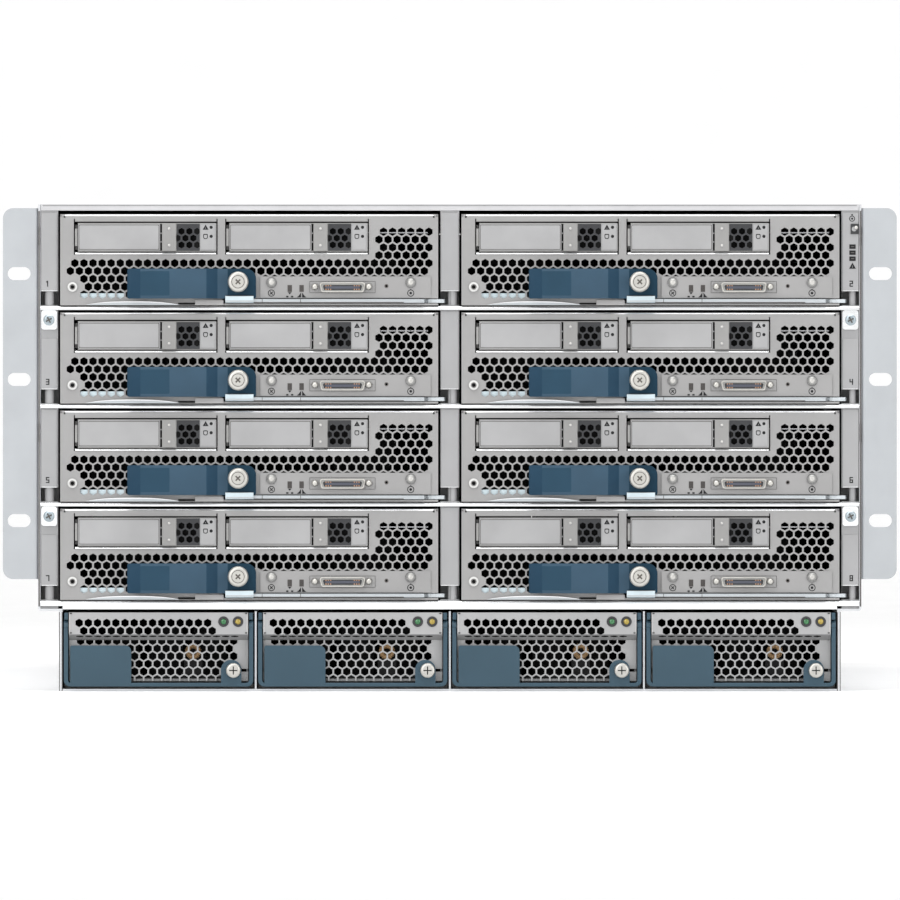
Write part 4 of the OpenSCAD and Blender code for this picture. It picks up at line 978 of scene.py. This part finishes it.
case = {
    "postX": 216.35,
    "postY": 0.6,
    "postHalf": (4.3, 4.8),  # half widths of the side posts' plates and of the centre ones
    "postZ": (8.3, 50.2, 35.5),  # foot, head, and the head under a shelf tab
    "shortRows": (1, 3),  # rows with a shelf tab above their posts
    "digitShift": (-0.8, 0.4),
    "digitZ": 12.0,
    "digitHeight": 2.7,
    "columns": ((-216.2, 2.5, 4.2), (1.5, 2.5, 4.7), (217.5, 1.8, 4.2)),  # X, radius, half the window
    "columnZ": (0.3, 8.0),
    "tabRows": (0, 2),
    "tabScrewDrop": 7.6,
    "tabScrewY": (-3.9, -1.2),
    "tabScrewR": 3.0,
    "tabScrewTurn": 28,
    "locator": (216.4, 246.9, 220.9, 252.4),
    "button": (219.3, 250.3),
    "sign": (217.2, 255.2),
    "lampLines": (240.1, 3.25, 3),  # highest, step, how many
}


def tabScrew(p, x, z):
    # a head seen along Y: a crowned rim round a flat middle with a cross cut into it, its floor dark with
    # painted shade
    r, crown, (y0, y1) = case["tabScrewR"], 0.7, case["tabScrewY"]
    flat = r * 0.62
    p.turned([(flat, y0), (r * 0.84, y0 + crown * 0.3), (r, y0 + crown), (r, y1)], (x, z), matTabScrew)
    p.plate([circleLoop(x, z, flat, 28), crossLoop(x, z, r * 0.6, r * 0.13, case["tabScrewTurn"])],
            (y0, y0 + 0.7), matTabScrew)
    p.turned([(0, y0 + 0.6), (flat, y0 + 0.6)], (x, z), matCrossShade, 20)


def caseTrim():
    p = Piece((0, lowMm("lower_pan").y, 0))
    face, postX = case["postY"], case["postX"]
    sideHalf, centreHalf = case["postHalf"]
    plateFoot, plateHead, shortHead = case["postZ"]
    columnFoot, columnHead = case["columnZ"]

    def post(x, half, foot, head):
        p.panel((x - half, foot, x + half, head), (face - 0.5, face), matPost, 0.5, 0.2)

    for row in range(4):
        floorZ = bladeOrigin(2 * row + 1).z - 0.3
        for side in (-1, 1):
            x = side * postX
            head = shortHead if row in case["shortRows"] else plateHead
            post(x, sideHalf, floorZ + plateFoot, floorZ + head)
            digit(p, 2 * row + (1 if side < 0 else 2), x + case["digitShift"][side > 0],
                  floorZ + case["digitZ"], case["digitHeight"], face - 0.52)
            if row in case["tabRows"]:
                tabScrew(p, x, floorZ - case["tabScrewDrop"])
        post(0, centreHalf, floorZ + plateFoot, floorZ + plateHead)
        # round column in each window under a post, and the window's bright head
        for x, r, half in case["columns"]:
            column = arc(x, 3.4, r, range(180, 361, 15)) + [(x + r, 4.0), (x - r, 4.0)]
            p.add(prismShape(column, (floorZ + columnFoot, floorZ + columnHead), True), matPost)
            middle = postX * (x > 9) - postX * (x < -9)
            p.panel((middle - half, floorZ + columnHead, middle + half, floorZ + columnHead + 0.35),
                    (face - 0.6, face - 0.2), matZincAndHighlight)
    # darker lines along the edges of the lower pan's walls and of the side walls, and painted shade along
    # the cover's rolled top edge
    low, high = lowMm("lower_pan"), highMm("lower_pan")
    for x in (low.x, low.x + 1.45, high.x - 0.45, high.x - 1.9):
        p.panel((x, 0.2, x + 0.45, high.z - 0.5), (-0.06, 0.1), matLine)
    wall = highMm("side_walls")
    for x in (-wall.x + 0.1, wall.x - 0.95):
        p.panel((x, high.z + 2.5, x + 0.85, wall.z - 3.5), (-0.06, 0.1), matLine)
    top = highMm("top_cover")
    p.panel((-top.x + 1.0, top.z - 0.75, top.x - 1.0, top.z - 0.35), (-0.1, 1.2), matRim)
    # locate button and lamps of the right post
    p.panel(case["locator"], (face - 1.25, face - 0.8), matBlack, 0.4, 0.12)
    # the button's dome: lighter in its middle as painted highlight, its side in painted shade
    p.turned([(0, -1.5), (0.5, -1.45), (0.85, -1.25)], case["button"], matBallLit, 24)
    p.turned([(0.85, -1.25), (1.1, -1.0), (1.2, -0.6)], case["button"], matBallShade, 24)
    sx, sz = case["sign"]
    ink = (face - 0.6, face - 0.4)
    signRing(p, case["sign"], 1.6, ink[0])
    for z, r in ((sz, 0.55), (sz + 2.1, 0.45)):
        p.plate([circleLoop(sx, z, r, 12)], ink, matInkAndShade)
    highest, step, count = case["lampLines"]
    for k in range(count):
        z = highest - step * k
        p.panel((215.7, z - 1.2, 219.1, z + 1.2), (face - 0.7, face - 0.4), matInkAndShade, 0.2, 0.05)
        p.panel((216.6, z - 0.2, 218.4, z + 0.2), (face - 0.73, face - 0.7), matLine)
    triangle = [(215.6, 228.2), (219.2, 228.2), (217.4, 231.5)]
    p.plate([triangle, [(217.2, 228.8), (217.4, 230.4), (217.6, 228.8)]], ink, matInkAndShade)
    p.finish("caseTrim", "chassis")


shutter = {
    "slats": 7,
    "lean": 9.0,
    "margin": 2.2,
    "back": 5.0,
    "spacing": 1.6,
    "overlap": 1.15,
    "slatThick": 1.2,
}


def fanShutters():
    # back-flow shutters in front of the fans: a frame each, and leaning slats that overlap when closed
    p = Piece()
    lean, e, count = shutter["lean"], shutter["margin"], shutter["slats"]
    y1 = lowMm("fan_mounts").y - shutter["back"]
    y0 = y1 - lean - 3
    mids = [(lowMm(f"fan_rotor_{n}") + highMm(f"fan_rotor_{n}")) / 2 for n in range(1, 9)]
    w = (mids[1].x - mids[0].x) - shutter["spacing"]
    h = abs(mids[4].z - mids[0].z) - shutter["spacing"]
    front, back = y0 + 1.5, y0 + 1.5 + shutter["slatThick"]
    for c in mids:
        left, right, foot, head = c.x - w / 2, c.x + w / 2, c.z - h / 2, c.z + h / 2
        p.plate([roundLoop(left, foot, right, head), roundLoop(left + e, foot + e, right - e, head - e)],
                (y0, y1), matFan)
        step = (h - 2 * e) / count
        for k in range(count):
            z = foot + e + k * step
            upper = z + step * shutter["overlap"]
            slat = [(front, upper), (front + lean, z), (back + lean, z), (back, upper)]
            p.run([(y, min(q, head - e + 1)) for y, q in slat], (left + e, right - e), matRotor)
    p.finish("fanShutters", "chassis")


inlet = {
    "pinStep": 8.0,
    "pinHalf": (1.0, 3.0),
    "pinDrop": (-2.5, 3.5, -2.5),  # the middle pin stands higher
    "pinY": (-17.0, -2.6),
}


def inletPins():
    p = Piece()
    low, high = lowMm("power_inlets"), highMm("power_inlets")
    halfX, halfZ = inlet["pinHalf"]
    for n in range(1, 5):
        p.origin = Vector((supplyOrigin(n).x + supply["w"] / 2, high.y, (low.z + high.z) / 2))
        for i, dz in zip((-1, 0, 1), inlet["pinDrop"]):
            x = inlet["pinStep"] * i
            p.panel((x - halfX, dz - halfZ, x + halfX, dz + halfZ), inlet["pinY"], matNickel, 0.4, 0.3)
    p.finish("inletPins", "chassis")


vent = {
    "filter": (6.5, 117.5, 43.0, 182.5),
    "ribs": (8.0, 5.5, 7),  # first, step, how many
    "ribWidth": 0.8,
    "sheet": 1.6,
}


def ventFilter(n):
    # dark mesh filter behind the vents of a module at the back
    node = f"io_module_{n}"
    low = lowMm(node)
    face = highMm("lower_pan").y - vent["sheet"]
    p = Piece((low.x, 0, low.z))
    p.panel(vent["filter"], (face - 3.2, face - 1.2), matDarkHole, 1.0, 0.2)
    first, step, count = vent["ribs"]
    for i in range(count):
        x = first + step * i
        p.panel((x, 118.5, x + vent["ribWidth"], 181.5), (face - 1.3, face - 1.0), matFan, 0.0, 0.05)
    p.finish(f"ventFilter{n}", node)


for n in (1, 2):
    ventFilter(n)
for n in range(1, 9):
    bladeTrim(n)
    driveTrim(n, "left")
    driveTrim(n, "right")
    leverPiece(n)
for n in range(1, 5):
    supplyTrim(n)
    bailPiece(n)
caseTrim()
fanShutters()
inletPins()
say("pieces")

# finishes of the fixed frame, with painted shade inside the cells; cells are in metres

innerCells = {
    "blade": ((0.0011, 0.0009, 0.0008), (0.2029, 0.606, 0.0481)),
    "supply": ((0.0039, 0.0058, 0.0052), (0.0983, 0.573, 0.0399)),
    "supplyHead": ((0.0039, 0.0011, 0.0296), (0.0983, 0.02, 0.0399)),
    "driveY": (0.0013, 0.006),
    "driveZ": (0.0003, 0.0151),
}

b1, b2 = lowCorner("blade_1"), lowCorner("blade_2")
faceY = b1.y + blade["faceBack"] * mm
zBase = lowCorner("blade_7").z
rowStep = (b1.z - zBase) / 3
(x0, y0, z0), (x1, y1, z1) = innerCells["blade"]
bladeCells = [((b.x + x0, faceY + y0, z0), (b.x + x1, faceY + y1, z1), (2, zBase, rowStep))
              for b in (b1, b2)]
matBlade = paintedShadeWithin("bladePaintAndInnerShade", tones["blade"], 0.42, bladeCells)
s1, s2 = lowCorner("supply_1"), lowCorner("supply_2")
supplyCells = [((x0, s1.y + y0, s1.z + z0), (x1, s1.y + y1, s1.z + z1), (0, s1.x, s2.x - s1.x))
               for (x0, y0, z0), (x1, y1, z1) in (innerCells["supply"], innerCells["supplyHead"])]
matSupply = paintedShadeWithin("supplyPaintAndInnerShade", tones["supply"], 0.4, supplyCells, specular=0.25)
x0, x1 = (x * mm for x in drive["mesh"])
(y0, y1), (z0, z1) = innerCells["driveY"], innerCells["driveZ"]
driveCells = []
for side, number in (("left", 1), ("right", 1), ("left", 2), ("right", 2)):
    low = lowCorner(f"drive_{side}_{number}")
    foot = lowCorner(f"drive_{side}_{number + 6}").z
    driveCells.append(((low.x + x0, low.y + y0, z0), (low.x + x1, low.y + y1, z1), (2, foot, rowStep)))
matDriveCad = paintedShadeWithin("driveFrameAndInnerShade", tones["drive"], 0.4, driveCells, specular=0.08)

finishes = {
    "lower_pan": matZinc, "side_walls": matZinc, "rear_frame": matZinc, "bay_shelves": matZincAndHighlight,
    "top_cover": matCover, "rack_ears": matEar, "slot_posts": matPost, "midplane": matBoard,
    "fan_mounts": matFan, "power_inlets": matBlack, "io_module_1": matSupply, "io_module_2": matSupply,
}
for n in range(1, 9):
    finishes[f"blade_{n}"] = matBlade
    finishes[f"drive_left_{n}"] = finishes[f"drive_right_{n}"] = matDriveCad
    finishes[f"fan_rotor_{n}"] = matRotor
    if n < 5:
        finishes[f"supply_{n}"] = matSupply
for name, mat in finishes.items():
    dress(name, mat)
say("frame finishes")

# floor, light and camera

studio = {
    "viewWidth": 0.48591,
    "viewX": 0.0001,
    "viewZ": 0.1303,
    "distance": 7.0,
    "focusBack": 0.011,  # how far behind the lowest Y the view width is measured
    "sensor": 36,
    "world": 0.85,
    "floor": (0.96, 0.96, 0.96),
    "floorHalf": 9,
    "sweep": (2.5, 1.5, 24),  # where the floor starts to rise, the radius, and the steps
    "wallTop": 7.0,
}

start, radius, steps = studio["sweep"]
half = studio["floorHalf"]
sweep = [(-half, 0.0)]
for i in range(steps + 1):
    a = math.radians(90 * i / steps)
    sweep.append((start + radius * math.sin(a), radius - radius * math.cos(a)))
sweep.append((start + radius, studio["wallTop"]))
count = len(sweep)
floorVerts = [(x, y, z) for x in (-half, half) for y, z in sweep]
floorFaces = [[count + i, count + i + 1, i + 1, i] for i in range(count - 1)]
floorMesh = bpy.data.meshes.new("floor")
floorMesh.from_pydata(floorVerts, [], floorFaces)
for polygon in floorMesh.polygons:
    polygon.use_smooth = True
floor = bpy.data.objects.new("floor", floorMesh)
bpy.context.collection.objects.link(floor)
floorMat = paint("floorPaper", studio["floor"], 0.9, 0.01, 0.00001)
g = Graph(floorMat)  # seen from behind, the backdrop lets the view through
paperOut = next(node for node in g.tree.nodes if node.type == "OUTPUT_MATERIAL").inputs[0]
either = g.add("ShaderNodeMixShader")
g.link(g.add("ShaderNodeNewGeometry").outputs["Backfacing"], either.inputs[0])
g.link(paperOut.links[0].from_socket, either.inputs[1])
g.link(g.add("ShaderNodeBsdfTransparent").outputs[0], either.inputs[2])
g.link(either.outputs[0], paperOut)
floorMesh.materials.append(floorMat)

world = bpy.data.worlds.new("studio")
world.use_nodes = True
world.node_tree.nodes["Background"].inputs[0].default_value = (1, 1, 1, 1)
world.node_tree.nodes["Background"].inputs[1].default_value = studio["world"]
bpy.context.scene.world = world


def areaLight(name, place, size, power):
    data = bpy.data.lights.new(name, "AREA")
    data.shape = "RECTANGLE"
    data.size, data.size_y = size
    data.energy = power
    obj = bpy.data.objects.new(name, data)
    bpy.context.collection.objects.link(obj)
    obj.location = place
    target = Vector((0, cadBox[0][1], 0.13))  # the middle of the front
    obj.rotation_euler = (target - Vector(place)).to_track_quat("-Z", "Y").to_euler()


areaLight("top", (0, -1.1, 2.3), (2.6, 1.4), 42)
areaLight("front", (-1.4, -2.6, 1.2), (1.6, 1.6), 26)
areaLight("right", (1.8, -2.2, 0.9), (1.4, 1.4), 16)

camData = bpy.data.cameras.new("camera")
cam = bpy.data.objects.new("camera", camData)
bpy.context.collection.objects.link(cam)
cam.location = (studio["viewX"], cadBox[0][1] - studio["distance"], studio["viewZ"])
cam.rotation_euler = (math.radians(90), 0, 0)
camData.sensor_width = studio["sensor"]
camData.lens = studio["sensor"] * (studio["distance"] + studio["focusBack"]) / studio["viewWidth"]
camData.clip_end = 60
bpy.context.scene.camera = cam
bpy.context.scene.view_settings.view_transform = "Standard"
say("studio")
